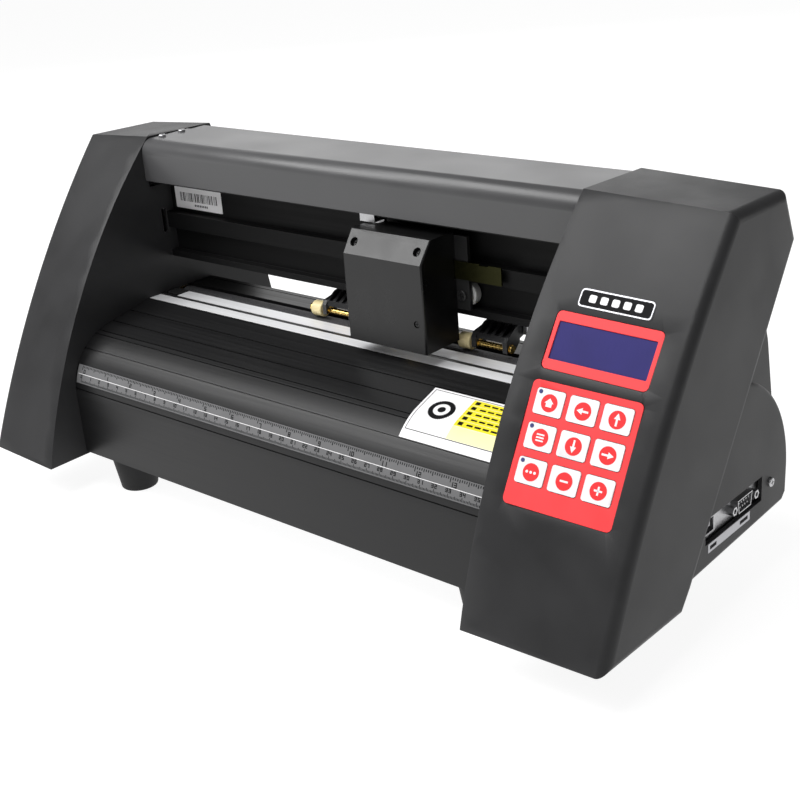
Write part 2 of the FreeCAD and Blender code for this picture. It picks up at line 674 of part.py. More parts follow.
def feet():
    made = []
    for x in FOOT_X:
        for y in FOOT_Y:
            cone = Part.makeCone(FOOT_BOTTOM_R, FOOT_TOP_R, BASE_Z, Vector(x, y, 0))
            rim = [e for e in cone.Edges if e.BoundBox.ZMax < 0.01]
            made.append(cone.makeFillet(1.5, rim))
    return Part.makeCompound(made)


# ---- control panel -------------------------------------------------------------------------
KEY_NAMES = ("home", "left", "up", "option", "down", "right", "setup", "minus", "plus")


def key_places():
    """Centres of the nine keys, row by row from the top left, in the panel's local frame."""
    spots = []
    for row in range(3):
        for column in range(3):
            spots.append(((column - 1) * KEY_PITCH_X, KEY_UP - (row - 1) * KEY_PITCH_Y))
    return spots


def keypad_panel():
    top = -PANEL_SINK
    sheet = plate(KEYPAD_W, KEYPAD_H, top - PANEL_T, top, 3.0)
    windows = [plate(KEY_W + 0.6, KEY_H + 0.6, top - PANEL_T - 1.0, top + 1.0, 1.8, at)
               for at in key_places()]
    return placed(sheet.cut(windows), panel_frame(PANEL_X, KEYPAD_Z))


def key(at):
    top = KEY_PROUD - PANEL_SINK
    cap = plate(KEY_W, KEY_H, top - KEY_T, top, 1.5, at)
    return placed(cap, panel_frame(PANEL_X, KEYPAD_Z))


def lcd_bezel():
    top = -PANEL_SINK
    sheet = plate(BEZEL_W, BEZEL_H, top - PANEL_T, top, 3.0)
    window = plate(SCREEN_W, SCREEN_H, top - PANEL_T - 1.0, top + 1.0, 0.6)
    return placed(sheet.cut(window), panel_frame(PANEL_X, BEZEL_Z))


def lcd_screen():
    top = -PANEL_SINK
    glass = plate(SCREEN_W - 0.2, SCREEN_H - 0.2, top - PANEL_T, top - 0.7, 0.5)
    return placed(glass, panel_frame(PANEL_X, BEZEL_Z))


def circuit_boards():
    """The main board on the base, and the panel board behind the keypad and display."""
    top = BOARD_Z + BOARD_T
    main = box(BOARD_X[0], BOARD_X[1], BOARD_Y[0], BOARD_Y[1], BOARD_Z, top)
    chips = [box(x, x + wide, y, y + deep, top, top + high) for x, y, wide, deep, high in CHIPS]
    standoffs = [rod("z", x, y, BASE_Z + BASE_T, 3.0, BOARD_Z - BASE_Z - BASE_T)
                 for x in (BOARD_X[0] + 4.0, BOARD_X[1] - 4.0)
                 for y in (BOARD_Y[0] + 4.0, BOARD_Y[1] - 4.0)]
    panel = placed(plate(56.0, 96.0, -13.0, -11.4, 1.5), panel_frame(PANEL_X, 146.0))
    return Part.makeCompound([fuse([main] + chips + standoffs), panel])


# ---- sockets -------------------------------------------------------------------------------
def hex_post(x, y, z, across, length):
    radius = across / math.sqrt(3)
    corners = [(y + radius * math.cos(math.radians(a)), z + radius * math.sin(math.radians(a)))
               for a in range(0, 360, 60)]
    return prism(x, x + length, polygon_edges(corners))


def port_plate():
    x0 = PLATE_X - 1.0
    x1 = PLATE_X + 2.0
    sheet = box(PLATE_X, PLATE_X + 1.0, PORT_Y0 - 4.0, PORT_Y1 + 4.0, PORT_Z - 11.0, PORT_Z + 11.0)
    cuts = [box(x0, x1, USB_Y - USB_HALF_Y - GAP, USB_Y + USB_HALF_Y + GAP,
                PORT_Z - USB_HALF_Z - GAP, PORT_Z + USB_HALF_Z + GAP),
            box(x0, x1, SERIAL_Y - SERIAL_BODY_Y - 0.3, SERIAL_Y + SERIAL_BODY_Y + 0.3,
                PORT_Z - SERIAL_BODY_Z - GAP, PORT_Z + SERIAL_BODY_Z + GAP)]
    for side in (-1, 1):
        y = SERIAL_Y + side * SERIAL_PITCH / 2
        cuts.append(rod("x", x0, y, PORT_Z, JACK_HOLE_R, x1 - x0))
    return sheet.cut(cuts)


def usb_socket():
    shell = box(PLATE_X - 14.0, PLATE_X + 1.8, USB_Y - USB_HALF_Y, USB_Y + USB_HALF_Y,
                PORT_Z - USB_HALF_Z, PORT_Z + USB_HALF_Z)
    mouth = box(PLATE_X - 8.0, PLATE_X + 3.0, USB_Y - USB_MOUTH_Y, USB_Y + USB_MOUTH_Y,
                PORT_Z - USB_MOUTH_Z, PORT_Z + USB_MOUTH_Z)
    tongue = box(PLATE_X - 8.0, PLATE_X + 0.5, USB_Y - 2.8, USB_Y + 2.8, PORT_Z - 1.6, PORT_Z + 1.6)
    return fuse([shell.cut(mouth), tongue])


def serial_socket():
    """A nine-pin plug: a D-shaped shell in front of its body, open at the front."""
    def dee(x0, x1, grow):
        wide = SERIAL_HALF_Y + grow
        narrow = SERIAL_HALF_Y - SERIAL_LEAN + grow
        high = SERIAL_HALF_Z + grow
        corners = [(SERIAL_Y - wide, PORT_Z + high), (SERIAL_Y + wide, PORT_Z + high),
                   (SERIAL_Y + narrow, PORT_Z - high), (SERIAL_Y - narrow, PORT_Z - high)]
        return prism(x0, x1, polygon_edges(corners))

    body = box(PLATE_X - 10.0, PLATE_X - 0.2, SERIAL_Y - SERIAL_BODY_Y, SERIAL_Y + SERIAL_BODY_Y,
               PORT_Z - SERIAL_BODY_Z, PORT_Z + SERIAL_BODY_Z)
    shell = dee(PLATE_X - 0.2, PLATE_X + 5.0, 0.0).cut(dee(PLATE_X + 0.2, PLATE_X + 6.0, -0.6))
    pins = []
    for row, count in ((1.42, 5), (-1.42, 4)):
        for index in range(count):
            y = SERIAL_Y + (index - (count - 1) / 2) * PIN_PITCH
            pins.append(rod("x", PLATE_X - 0.5, y, PORT_Z + row, 0.5, 4.6))
    return fuse([body, shell] + pins)


def jack_screws():
    made = []
    for side in (-1, 1):
        y = SERIAL_Y + side * SERIAL_PITCH / 2
        post = hex_post(PLATE_X + 1.0, y, PORT_Z, 4.8, 4.6)
        stem = rod("x", PLATE_X - 4.0, y, PORT_Z, JACK_R + FIT, 5.5)
        bore = rod("x", PLATE_X + 1.6, y, PORT_Z, JACK_R, 5.0)
        made.append(fuse([post, stem]).cut(bore))
    return Part.makeCompound(made)


def power_inlet():
    """Mains socket and switch housing in the left cover, with the hollow for the plug."""
    flange = box(PORT_X, PORT_X + INLET_FLANGE, INLET_Y0 - 4.0, INLET_Y1 + 4.0,
                 INLET_Z0 - 2.5, INLET_Z1 + 2.5)
    body = box(PORT_X - INLET_DEPTH, PORT_X, INLET_Y0 + GAP, INLET_Y1 - GAP,
               INLET_Z0 + GAP, INLET_Z1 - GAP)
    plug = box(PORT_X - 17.0, PORT_X + 3.0, PLUG_Y - PLUG_HALF_Y, PLUG_Y + PLUG_HALF_Y,
               PLUG_Z - PLUG_HALF_Z, PLUG_Z + PLUG_HALF_Z)
    rocker = box(PORT_X - 12.0, PORT_X + 3.0, SWITCH_Y - ROCKER_HALF_W - 0.4,
                 SWITCH_Y + ROCKER_HALF_W + 0.4, PLUG_Z - 10.2, PLUG_Z + 10.2)
    pins = [box(PORT_X - 18.0, PORT_X - 4.0, PLUG_Y + dy - 1.0, PLUG_Y + dy + 1.0,
                PLUG_Z + dz - 2.0, PLUG_Z + dz + 2.0)
            for dy, dz in ((-7.0, -1.5), (7.0, -1.5), (0.0, 2.5))]
    pivot = rod("y", SWITCH_PIN_X, SWITCH_Y - 7.2, PLUG_Z, SWITCH_PIN_R + FIT, 14.4)
    return mirror_x(fuse([fuse([flange, body]).cut([plug, rocker, pivot])] + pins))


def power_switch():
    """The rocker: its two faces lean away from the pivot line, and a pin end stands out each side."""
    outline = [(-ROCKER_HALF_L, -1.0), (-ROCKER_HALF_L, 2.2), (0.0, 0.4), (ROCKER_HALF_L, 0.4),
               (ROCKER_HALF_L, -1.0), (3.0, -6.0), (-3.0, -6.0)]
    corners = [Vector(PORT_X + out, SWITCH_Y - ROCKER_HALF_W, PLUG_Z + along)
               for along, out in outline]
    face = Part.Face(Part.makePolygon(corners + [corners[0]]))
    pin = rod("y", SWITCH_PIN_X, SWITCH_Y - 7.0, PLUG_Z, SWITCH_PIN_R, 14.0)
    return mirror_x(fuse([face.extrude(Vector(0, 2 * ROCKER_HALF_W, 0)), pin]))


def power_supply():
    """The mains supply's case, with cooling slots across its top."""
    case = box(SUPPLY_X[0], SUPPLY_X[1], SUPPLY_Y[0], SUPPLY_Y[1], BASE_Z + BASE_T, SUPPLY_TOP)
    slots = [box(SUPPLY_X[0] - 1.0, SUPPLY_X[1] + 1.0, y, y + 2.5, SUPPLY_TOP - 2.0,
                 SUPPLY_TOP + 1.0) for y in range(-64, -6, 7)]
    return case.cut(slots)


# ---- drives --------------------------------------------------------------------------------
def stepper():
    """A 42 mm stepping motor with its face at z = 0 and its boss along +Z."""
    body = box(-MOTOR_HALF, MOTOR_HALF, -MOTOR_HALF, MOTOR_HALF, -MOTOR_LENGTH, 0.0)
    edges = [e for e in body.Edges if abs(e.BoundBox.ZLength - MOTOR_LENGTH) < 1e-6]
    body = body.makeChamfer(4.0, edges)
    return fuse([body, rod("z", 0, 0, -0.5, MOTOR_BOSS_R, 2.5)])


def stepper_motors():
    """Both motors have a bore, so each pulley's shaft turns in it."""
    bore = rod("z", 0, 0, -12.0, MOTOR_SHAFT_R + FIT, 20.0)
    carriage = stepper().cut(bore)
    carriage.translate(Vector(MOTOR_X, BELT_Y, BRACKET_Z))
    posts = [rod("z", x, y, 0.0, 3.0, FEED_GAP)
             for x in (-MOTOR_HOLE, MOTOR_HOLE) for y in (-MOTOR_HOLE, MOTOR_HOLE)]
    feed = fuse([stepper()] + posts).cut(bore)
    feed.rotate(Vector(0, 0, 0), Vector(0, 1, 0), -90)
    feed.translate(Vector(FRAME_R1 + FEED_GAP, FEED_MOTOR_Y, FEED_MOTOR_Z))
    return Part.makeCompound([carriage, feed])


def belt_brackets():
    """The shelf that carries the carriage motor, and the idler's shelf at the other end."""
    top = BRACKET_Z + BRACKET_T
    shelf = box(FRAME_R1, MOTOR_X + MOTOR_HALF, BELT_Y - MOTOR_HALF, BELT_Y + MOTOR_HALF,
                BRACKET_Z, top)
    shelf = shelf.cut(rod("z", MOTOR_X, BELT_Y, BRACKET_Z - 1.0, MOTOR_BOSS_R + 0.1, 4.0))
    idler = box(IDLER_X - 10.0, FRAME_L0, BELT_Y - 9.0, BELT_Y + 9.0, BRACKET_Z, top)
    pin = rod("z", IDLER_X, BELT_Y, BRACKET_Z + 1.0, PIVOT_R, BELT_Z0 + BELT_W + 2.0 - BRACKET_Z)
    return Part.makeCompound([shelf, fuse([idler, pin])])


def ring_belt(ends, radii, inner_gap, thickness, width):
    """A belt round two pulleys in the XY plane, from its inner face outwards."""
    (x0, y0), (x1, y1) = ends

    def loop(extra):
        r0 = radii[0] + extra
        r1 = radii[1] + extra
        line = math.atan2(y1 - y0, x1 - x0)
        lean = math.acos((r0 - r1) / math.hypot(x1 - x0, y1 - y0))
        a = line + lean
        b = line - lean
        points = [Vector(x0 + r0 * math.cos(a), y0 + r0 * math.sin(a), 0),
                  Vector(x0 - r0 * math.cos(line), y0 - r0 * math.sin(line), 0),
                  Vector(x0 + r0 * math.cos(b), y0 + r0 * math.sin(b), 0),
                  Vector(x1 + r1 * math.cos(b), y1 + r1 * math.sin(b), 0),
                  Vector(x1 + r1 * math.cos(line), y1 + r1 * math.sin(line), 0),
                  Vector(x1 + r1 * math.cos(a), y1 + r1 * math.sin(a), 0)]
        wire = Part.Wire([Part.Arc(points[0], points[1], points[2]).toShape(),
                          Part.makeLine(points[2], points[3]),
                          Part.Arc(points[3], points[4], points[5]).toShape(),
                          Part.makeLine(points[5], points[0])])
        return Part.Face(wire).extrude(Vector(0, 0, width))

    return loop(inner_gap + thickness).cut(loop(inner_gap))


def drive_belts():
    carriage = ring_belt(((IDLER_X, BELT_Y), (MOTOR_X, BELT_Y)), (PULLEY_R, PULLEY_R),
                         BELT_CLEAR, BELT_T, BELT_W)
    carriage.translate(Vector(0, 0, BELT_Z0))
    feed = ring_belt(((ROLLER_Y, ROLLER_Z), (FEED_MOTOR_Y, FEED_MOTOR_Z)),
                     (FEED_BIG_R, FEED_SMALL_R), BELT_CLEAR, BELT_T, BELT_W)
    turn = Matrix(0, 0, 1, FEED_BELT_X, 1, 0, 0, 0, 0, 1, 0, 0, 0, 0, 0, 1)
    return Part.makeCompound([carriage, placed(feed, turn)])


def toothed(radius, width, teeth, bore):
    """A timing pulley about Z, from z = 0: round tooth gaps between two plain rims."""
    core = Part.makeCylinder(radius, width)
    cuts = []
    for index in range(teeth):
        angle = 2 * math.pi * index / teeth
        cuts.append(rod("z", radius * math.cos(angle), radius * math.sin(angle), 1.0,
                        0.45, width - 2.0))
    core = core.cut(cuts)
    if bore:
        core = core.cut(rod("z", 0, 0, -1.0, bore, width + 2.0))
    return core


def motor_pulley():
    shaft = rod("z", 0, 0, -10.0, MOTOR_SHAFT_R, 12.0)
    pulley = fuse([toothed(PULLEY_R, BELT_W + 1.0, TEETH, 0.0), shaft])
    pulley.translate(Vector(MOTOR_X, BELT_Y, BELT_Z0 - 0.5))
    return pulley


def idler_pulley():
    pulley = toothed(PULLEY_R, BELT_W + 1.0, TEETH, PIVOT_R + FIT)
    pulley.translate(Vector(IDLER_X, BELT_Y, BELT_Z0 - 0.5))
    return pulley


def along_x(shape, x, y, z):
    """Lay a shape made about Z along +X, starting at the point."""
    shape.rotate(Vector(0, 0, 0), Vector(0, 1, 0), 90)
    shape.translate(Vector(x, y, z))
    return shape


def feed_motor_pulley():
    shaft = rod("z", 0, 0, 0.0, MOTOR_SHAFT_R, 20.0)
    pulley = fuse([toothed(FEED_SMALL_R, BELT_W + 1.0, FEED_TEETH[1], 0.0), shaft])
    return along_x(pulley, FEED_BELT_X - 0.5, FEED_MOTOR_Y, FEED_MOTOR_Z)


def feed_roller_pulley():
    pulley = toothed(FEED_BIG_R, BELT_W + 1.0, FEED_TEETH[0], SHAFT_R)
    return along_x(pulley, FEED_BELT_X - 0.5, ROLLER_Y, ROLLER_Z)


def feed_roller():
    drum = rod("x", ROLLER_X0, ROLLER_Y, ROLLER_Z, ROLLER_R, ROLLER_X1 - ROLLER_X0)
    shaft = rod("x", FRAME_L0 - 3.0, ROLLER_Y, ROLLER_Z, SHAFT_R,
                FEED_BELT_X + BELT_W + 1.0 - FRAME_L0 + 3.0)
    return fuse([drum, shaft])


def roller_bearings():
    made = []
    for x in (FRAME_L0 - 1.0, FRAME_R0 - 1.0):
        made.append(tube("x", x, ROLLER_Y, ROLLER_Z, BEARING_R, SHAFT_R + FIT, SHEET + 2.0))
    return Part.makeCompound(made)


# ---- carriage ------------------------------------------------------------------------------
def car_outline(inset):
    """The carriage cover seen along X, open to the rear."""
    front = CAR_Y0 + inset
    top = CAR_Z1 - inset
    ease = inset * 0.4
    rear = CAR_Y1 + (30.0 if inset else 0.0)
    low = CAR_Z0 - (20.0 if inset else 0.0)
    return polygon_edges([(front, low), (front, CAR_Z1 - CAR_CHAMFER_Z - ease),
                          (CAR_Y0 + CAR_CHAMFER_Y + ease, top), (rear, top), (rear, low)])


def wheel_z(side):
    edge = BAND_Z1 if side > 0 else BAND_Z0
    return edge + side * (WHEEL_GAP + WHEEL_R)


def chamfer_frame(x):
    """The middle of the cover's chamfer at a width, with local Z out of it."""
    slope = math.degrees(math.atan2(CAR_CHAMFER_Z, CAR_CHAMFER_Y))
    return FreeCAD.Placement(Vector(x, CAR_Y0 + CAR_CHAMFER_Y / 2, CAR_Z1 - CAR_CHAMFER_Z / 2),
                             Rotation(Vector(1, 0, 0), slope))


def chamfer_cylinder(x, radius, low, high):
    pin = Part.makeCylinder(radius, high - low, Vector(0, 0, low))
    pin.Placement = chamfer_frame(x)
    return pin


def carriage_cover():
    shell = prism(CAR_X0, CAR_X1, car_outline(0.0))
    uprights = [e for e in shell.Edges
                if e.BoundBox.XLength < 0.01 and e.BoundBox.YMin < CAR_Y0 + CAR_CHAMFER_Y
                and e.BoundBox.ZMin > CAR_Z0 - 1.0 and e.BoundBox.YMax < CAR_Y1 - 1.0]
    shell = shell.makeFillet(1.2, uprights)
    hollow = prism(CAR_X0 + CAR_WALL, CAR_X1 - CAR_WALL, car_outline(CAR_WALL))
    shell = shell.cut([hollow,
                       box(CAR_X1 - 3.0, CAR_X1 + 1.0, CAR_PLATE_Y - 1.7, CAR_Y1 + 1.0,
                           FLAG_Z0 - 1.0, FLAG_Z1 + 1.0),
                       box(CAR_X0 - 1.0, CLAMP_X1 + 0.8, 3.0, CAR_Y1 + 1.0, CAR_Z1 - 3.0, CAR_Z1 + 1.0)])
    bosses = [chamfer_cylinder(x, CAR_SCREW_BORE + 1.3, -CAR_SCREW_SINK - 1.5, -0.8)
              for x in CAR_SCREWS_X]
    shell = fuse([shell] + bosses)
    bores = [chamfer_cylinder(x, CAR_SCREW_BORE, -CAR_SCREW_SINK, 3.0) for x in CAR_SCREWS_X]
    bores.append(rod("y", SIDE_SCREW_X, CAR_Y0 - 1.0, SIDE_SCREW_Z, SIDE_SCREW_R + 0.2, 4.0))
    return shell.cut(bores)


def carriage_plate():
    """The steel plate that carries the wheels, with the lugs and rods that guide the tool."""
    y0 = CAR_PLATE_Y
    y1 = y0 + PLATE_T
    half = LUG_T
    body = box(CAR_PLATE_X0, CAR_PLATE_X1, y0, y1, PLATE_FOOT_Z, CAR_PLATE_TOP)
    for x in (TOOL_X - ROD_X, TOOL_X + ROD_X):
        lugs = [box(x - half, x + half, ROD_Y - half, y0, z, z + LUG_T) for z in (ROD_Z0, ROD_Z1)]
        guide = rod("z", x, ROD_Y, ROD_Z0, ROD_R, ROD_Z1 + LUG_T - ROD_Z0)
        hanger = box(x - half, x + half, y0, y1, ROD_Z0, PLATE_FOOT_Z + 1.0)
        body = fuse([body, guide, hanger] + lugs)
    holes = [rod("y", x, y0 - 1.0, wheel_z(side), AXLE_R + 0.02, PLATE_T + 2.5)
             for _, x, side in WHEELS]
    return body.cut(holes)


def carriage_screws():
    """Wheel axles with their heads, and the screws that hold the carriage cover."""
    made = []
    for _, x, side in WHEELS:
        head = pan_screw("-y", x, CAR_PLATE_Y, wheel_z(side), 3.4, 1.7)
        axle = rod("y", x, CAR_PLATE_Y, wheel_z(side), AXLE_R, 8.9)
        made.append(fuse([head, axle]))
    for x in CAR_SCREWS_X:
        screw = pan_screw("z", 0, 0, 0, CAR_SCREW_BORE - 0.2, 1.6)
        sink = FreeCAD.Placement(Vector(0, 0, -CAR_SCREW_SINK), Rotation())
        screw.Placement = chamfer_frame(x).multiply(sink)
        made.append(screw)
    made.append(pan_screw("-y", SIDE_SCREW_X, CAR_Y0 + CAR_WALL, SIDE_SCREW_Z, SIDE_SCREW_R, 1.5))
    return Part.makeCompound(made)


def guide_wheel(x, side):
    """A wheel with rounded rims, a shallow dish in its front face and a bore for its axle."""
    width = 5.6
    wheel = Part.makeCylinder(WHEEL_R, width)
    rims = [e for e in wheel.Edges if e.BoundBox.ZLength < 1e-6]
    wheel = wheel.makeFillet(0.8, rims)
    dish = tube("z", 0, 0, -0.6, WHEEL_R - 1.8, 3.6, 1.4)
    wheel = wheel.cut([dish, rod("z", 0, 0, -1.0, AXLE_R + FIT, width + 2.0)])
    wheel.rotate(Vector(0, 0, 0), Vector(1, 0, 0), -90)
    wheel.translate(Vector(x, BAND_Y + 0.1, wheel_z(side)))
    return wheel


def belt_clamp():
    """The fork that the belt's front run is gripped in."""
    low = BRACKET_Z
    top = low + CLAMP_FOOT
    back = CAR_PLATE_Y + PLATE_T
    stem = box(CLAMP_X0, CLAMP_X1, CAR_PLATE_Y, back, CAR_PLATE_TOP, top)
    foot = box(CLAMP_X0, CLAMP_X1, 3.6, back, low, top)
    near = box(CLAMP_X0, CLAMP_X1, 3.6, 4.9, low, low + CLAMP_H)
    far = box(CLAMP_X0, CLAMP_X1, 7.3, 9.3, low, low + CLAMP_H)
    return fuse([stem, foot, near, far])


def home_flag():
    """A thin brass strip on the plate, with a shallow notch in its top edge near its free end."""
    sheet = box(FLAG_X0, FLAG_X1, CAR_PLATE_Y - FLAG_T, CAR_PLATE_Y, FLAG_Z0, FLAG_Z1)
    notch = box(FLAG_NOTCH[0], FLAG_NOTCH[1], CAR_PLATE_Y - FLAG_T - 1.0, CAR_PLATE_Y + 1.0,
                FLAG_Z1 - 0.8, FLAG_Z1 + 1.0)
    return sheet.cut(notch)


def lift_solenoid():
    """The coil that presses the tool down, in its steel yoke."""
    x0 = CAR_X0 + 3.1
    x1 = x0 + 2 * COIL_R + 1.0
    coil = rod("z", (x0 + x1) / 2, COIL_Y, COIL_Z0 + 2.0, COIL_R, 17.0)
    sides = [box(x0, x1, COIL_Y - COIL_R - 1.0, CAR_PLATE_Y, z, z + PLATE_T)
             for z in (COIL_Z0, COIL_Z1 - PLATE_T)]
    back = box(x0, x1, CAR_PLATE_Y - PLATE_T, CAR_PLATE_Y, COIL_Z0, COIL_Z1)
    return fuse([coil, back] + sides)


def tool_slide():
    """The block that runs on the two guide rods and holds the blade holder."""
    half = ROD_X + 3.6
    block = box(TOOL_X - half, TOOL_X + half, SLIDE_Y0, CAR_PLATE_Y - 0.6, SLIDE_Z0, SLIDE_Z1)
    start = SLIDE_Z0 - 3.0
    length = SLIDE_Z1 - SLIDE_Z0 + 6.0
    bores = [rod("z", x, ROD_Y, start, ROD_R + 0.06, length)
             for x in (TOOL_X - ROD_X, TOOL_X + ROD_X)]
    seat = rod("z", TOOL_X, TOOL_Y, start, HOLDER_R, length)
    thread = rod("y", TOOL_X, SLIDE_Y0 - 0.5, CLAMP_Z, CLAMP_STEM_R + FIT,
                 TOOL_Y - SLIDE_Y0 + 0.5)
    return block.cut(bores + [seat, thread])


def clamp_screw():
    """The fluted thumb screw that holds the blade holder in the slide."""
    start = SLIDE_Y0 - 0.5
    knob = rod("y", TOOL_X, start - 5.2, CLAMP_Z, KNOB_R, 5.4)
    reach = KNOB_R + 0.2
    flutes = [rod("y", TOOL_X + reach * math.cos(a), start - 6.0, CLAMP_Z + reach * math.sin(a),
                  0.7, 7.0)
              for a in [math.radians(30 * step) for step in range(12)]]
    stem = rod("y", TOOL_X, start, CLAMP_Z, CLAMP_STEM_R, TOOL_Y - HOLDER_R - start - 0.1)
    return fuse([knob.cut(flutes), stem])


def blade_holder():
    """A round holder with a collar above, and a tapered nose that the blade comes out of."""
    barrel = rod("z", TOOL_X, TOOL_Y, HOLDER_Z0, HOLDER_R, HOLDER_LENGTH)
    nose = Part.makeCone(2.4, HOLDER_R, HOLDER_Z0 - NOSE_TIP_Z, Vector(TOOL_X, TOOL_Y, NOSE_TIP_Z))
    collar = rod("z", TOOL_X, TOOL_Y, SLIDE_Z1 + 0.2, COLLAR_R, 6.0)
    bore = rod("z", TOOL_X, TOOL_Y, NOSE_TIP_Z - 2.0, BLADE_R + FIT, 26.0)
    return fuse([barrel, nose, collar]).cut(bore)


def blade():
    """A ground pin: a round shank that ends in a slanted cutting edge."""
    shank = rod("z", TOOL_X, TOOL_Y, BLADE_TIP_Z, BLADE_R, 25.0)
    bevel = box(-3.0, 3.0, -3.0, 3.0, -6.0, 0.0)
    bevel.rotate(Vector(0, 0, 0), Vector(0, 1, 0), 50)
    bevel.translate(Vector(TOOL_X - BLADE_R, TOOL_Y, BLADE_TIP_Z))
    return shank.cut(bevel)


# ---- pinch rollers -------------------------------------------------------------------------
def pinch_wheel(x):
    tyre = tube("x", x - PINCH_W / 2, ROLLER_Y, PINCH_Z, PINCH_R, PINCH_SHAFT_R + FIT, PINCH_W)
    rims = [e for e in tyre.Edges
            if e.BoundBox.XLength < 1e-6 and e.BoundBox.ZLength > PINCH_R * 1.5]
    return tyre.makeFillet(0.8, rims)


def pinch_arm(x):
    """The ribbed arm with its hub, cheeks and tail lever, and the axle between its cheeks."""
    pivot_y, pivot_z = ARM_PIVOT
    x0 = x + ARM_START
    x1 = x0 + ARM_W
    hub = rod("x", x0 + EAR_CLEAR, pivot_y, pivot_z, ARM_HUB_R, ARM_W - EAR_CLEAR)
    beam = prism(x0 + EAR_CLEAR, x1, polygon_edges(ARM_BEAM))
    tail = prism(x0 + 11.0, x1 - 8.0, polygon_edges(ARM_TAIL))
    cheeks = [prism(start, start + CHEEK_T, polygon_edges(ARM_CHEEK))
              for start in (x0, x1 - CHEEK_T)]
    body = fuse([hub, beam, tail] + cheeks)
    starts = [x0 + 5.0 + step * ARM_SLOT_PITCH for step in range(ARM_SLOTS)]
    slots = [box(start, start + ARM_SLOT_W, 15.0, 31.0, 136.0, 146.0) for start in starts]
    bores = [rod("x", x0 - 1.0, pivot_y, pivot_z, PIVOT_R + FIT, ARM_W + 2.0),
             rod("x", x0 - 1.0, ROLLER_Y, PINCH_Z, PINCH_SHAFT_R, ARM_W + 2.0)]
    body = body.cut(slots + bores)
    tip = x - ARM_START - 0.2
    axle = rod("x", tip, ROLLER_Y, PINCH_Z, PINCH_SHAFT_R, x1 + 0.8 - tip)
    ends = [rod("x", tip - 1.2, ROLLER_Y, PINCH_Z, 3.0, 1.8),
            rod("x", x1, ROLLER_Y, PINCH_Z, 2.6, 1.2)]
    return Part.makeCompound([body, fuse([axle] + ends)])


def pinch_bracket(x):
    """A saddle under the rail, with two ears and the arm's pivot pin between them."""
    pivot_y, pivot_z = ARM_PIVOT
    x0 = x + ARM_START
    x1 = x0 + BRACKET_W
    high = RAIL_Z0 - BRACKET_TOP
    low = high - BRACKET_SHEET
    rear = RAIL_Y1 + 0.5
    top = box(x0, x1, 32.0, rear + BRACKET_SHEET, low, high)
    hook = box(x0, x1, rear, rear + BRACKET_SHEET, low, RAIL_Z0 + 10.0)
    ears = [box(start, start + BRACKET_SHEET, 34.0, 47.0, 134.0, high)
            for start in (x0, x1 - BRACKET_SHEET)]
    pin = rod("x", x0, pivot_y, pivot_z, PIVOT_R, BRACKET_W)
    return fuse([top, hook, pin] + ears)


# ---- write the pieces ----------------------------------------------------------------------
def pieces():
    """Every piece of the machine, by the name of its node."""
    made = {
        "right_cover": right_cover(), "left_cover": left_cover(),
        "side_frames": Part.makeCompound([side_frame(FRAME_L0), side_frame(FRAME_R0)]),
        "base_plate": base_plate(), "bed_front": bed_front(), "bed_rear": bed_rear(),
        "bed_strips": bed_strips(), "cutting_strip": cutting_strip(), "ruler": ruler(),
        "guide_rail": guide_rail(), "top_beam": top_beam(), "chassis_screws": chassis_screws(),
        "feet": feet(), "keypad_panel": keypad_panel(), "lcd_bezel": lcd_bezel(),
        "lcd_screen": lcd_screen(), "circuit_boards": circuit_boards(),
        "port_plate": port_plate(), "usb_socket": usb_socket(),
        "serial_socket": Part.makeCompound([serial_socket(), jack_screws()]),
        "power_inlet": power_inlet(), "power_switch": power_switch(),
        "power_supply": power_supply(), "stepper_motors": stepper_motors(),
        "belt_brackets": belt_brackets(), "drive_belts": drive_belts(),
        "motor_pulley": motor_pulley(), "idler_pulley": idler_pulley(),
        "feed_motor_pulley": feed_motor_pulley(), "feed_roller_pulley": feed_roller_pulley(),
        "feed_roller": feed_roller(), "roller_bearings": roller_bearings(),
        "carriage_cover": carriage_cover(), "carriage_plate": carriage_plate(),
        "carriage_screws": carriage_screws(), "belt_clamp": belt_clamp(),
        "home_flag": home_flag(), "lift_solenoid": lift_solenoid(),
        "tool_slide": tool_slide(), "clamp_screw": clamp_screw(),
        "blade_holder": blade_holder(), "blade": blade(),
    }
    for name, x, side in WHEELS:
        made["guide_wheel_" + name] = guide_wheel(x, side)
    for name, x in zip(("left", "right"), PINCH_X):
        made["pinch_bracket_" + name] = pinch_bracket(x)
        made["pinch_arm_" + name] = pinch_arm(x)
        made["pinch_wheel_" + name] = pinch_wheel(x)
    for name, at in zip(KEY_NAMES, key_places()):
        made["key_" + name] = key(at)
    return made


os.makedirs("parts", exist_ok=True)
for node, shape in pieces().items():
    save(node, shape)
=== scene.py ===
import json
import math
import random

import bmesh
import bpy
from mathutils import Matrix, Vector


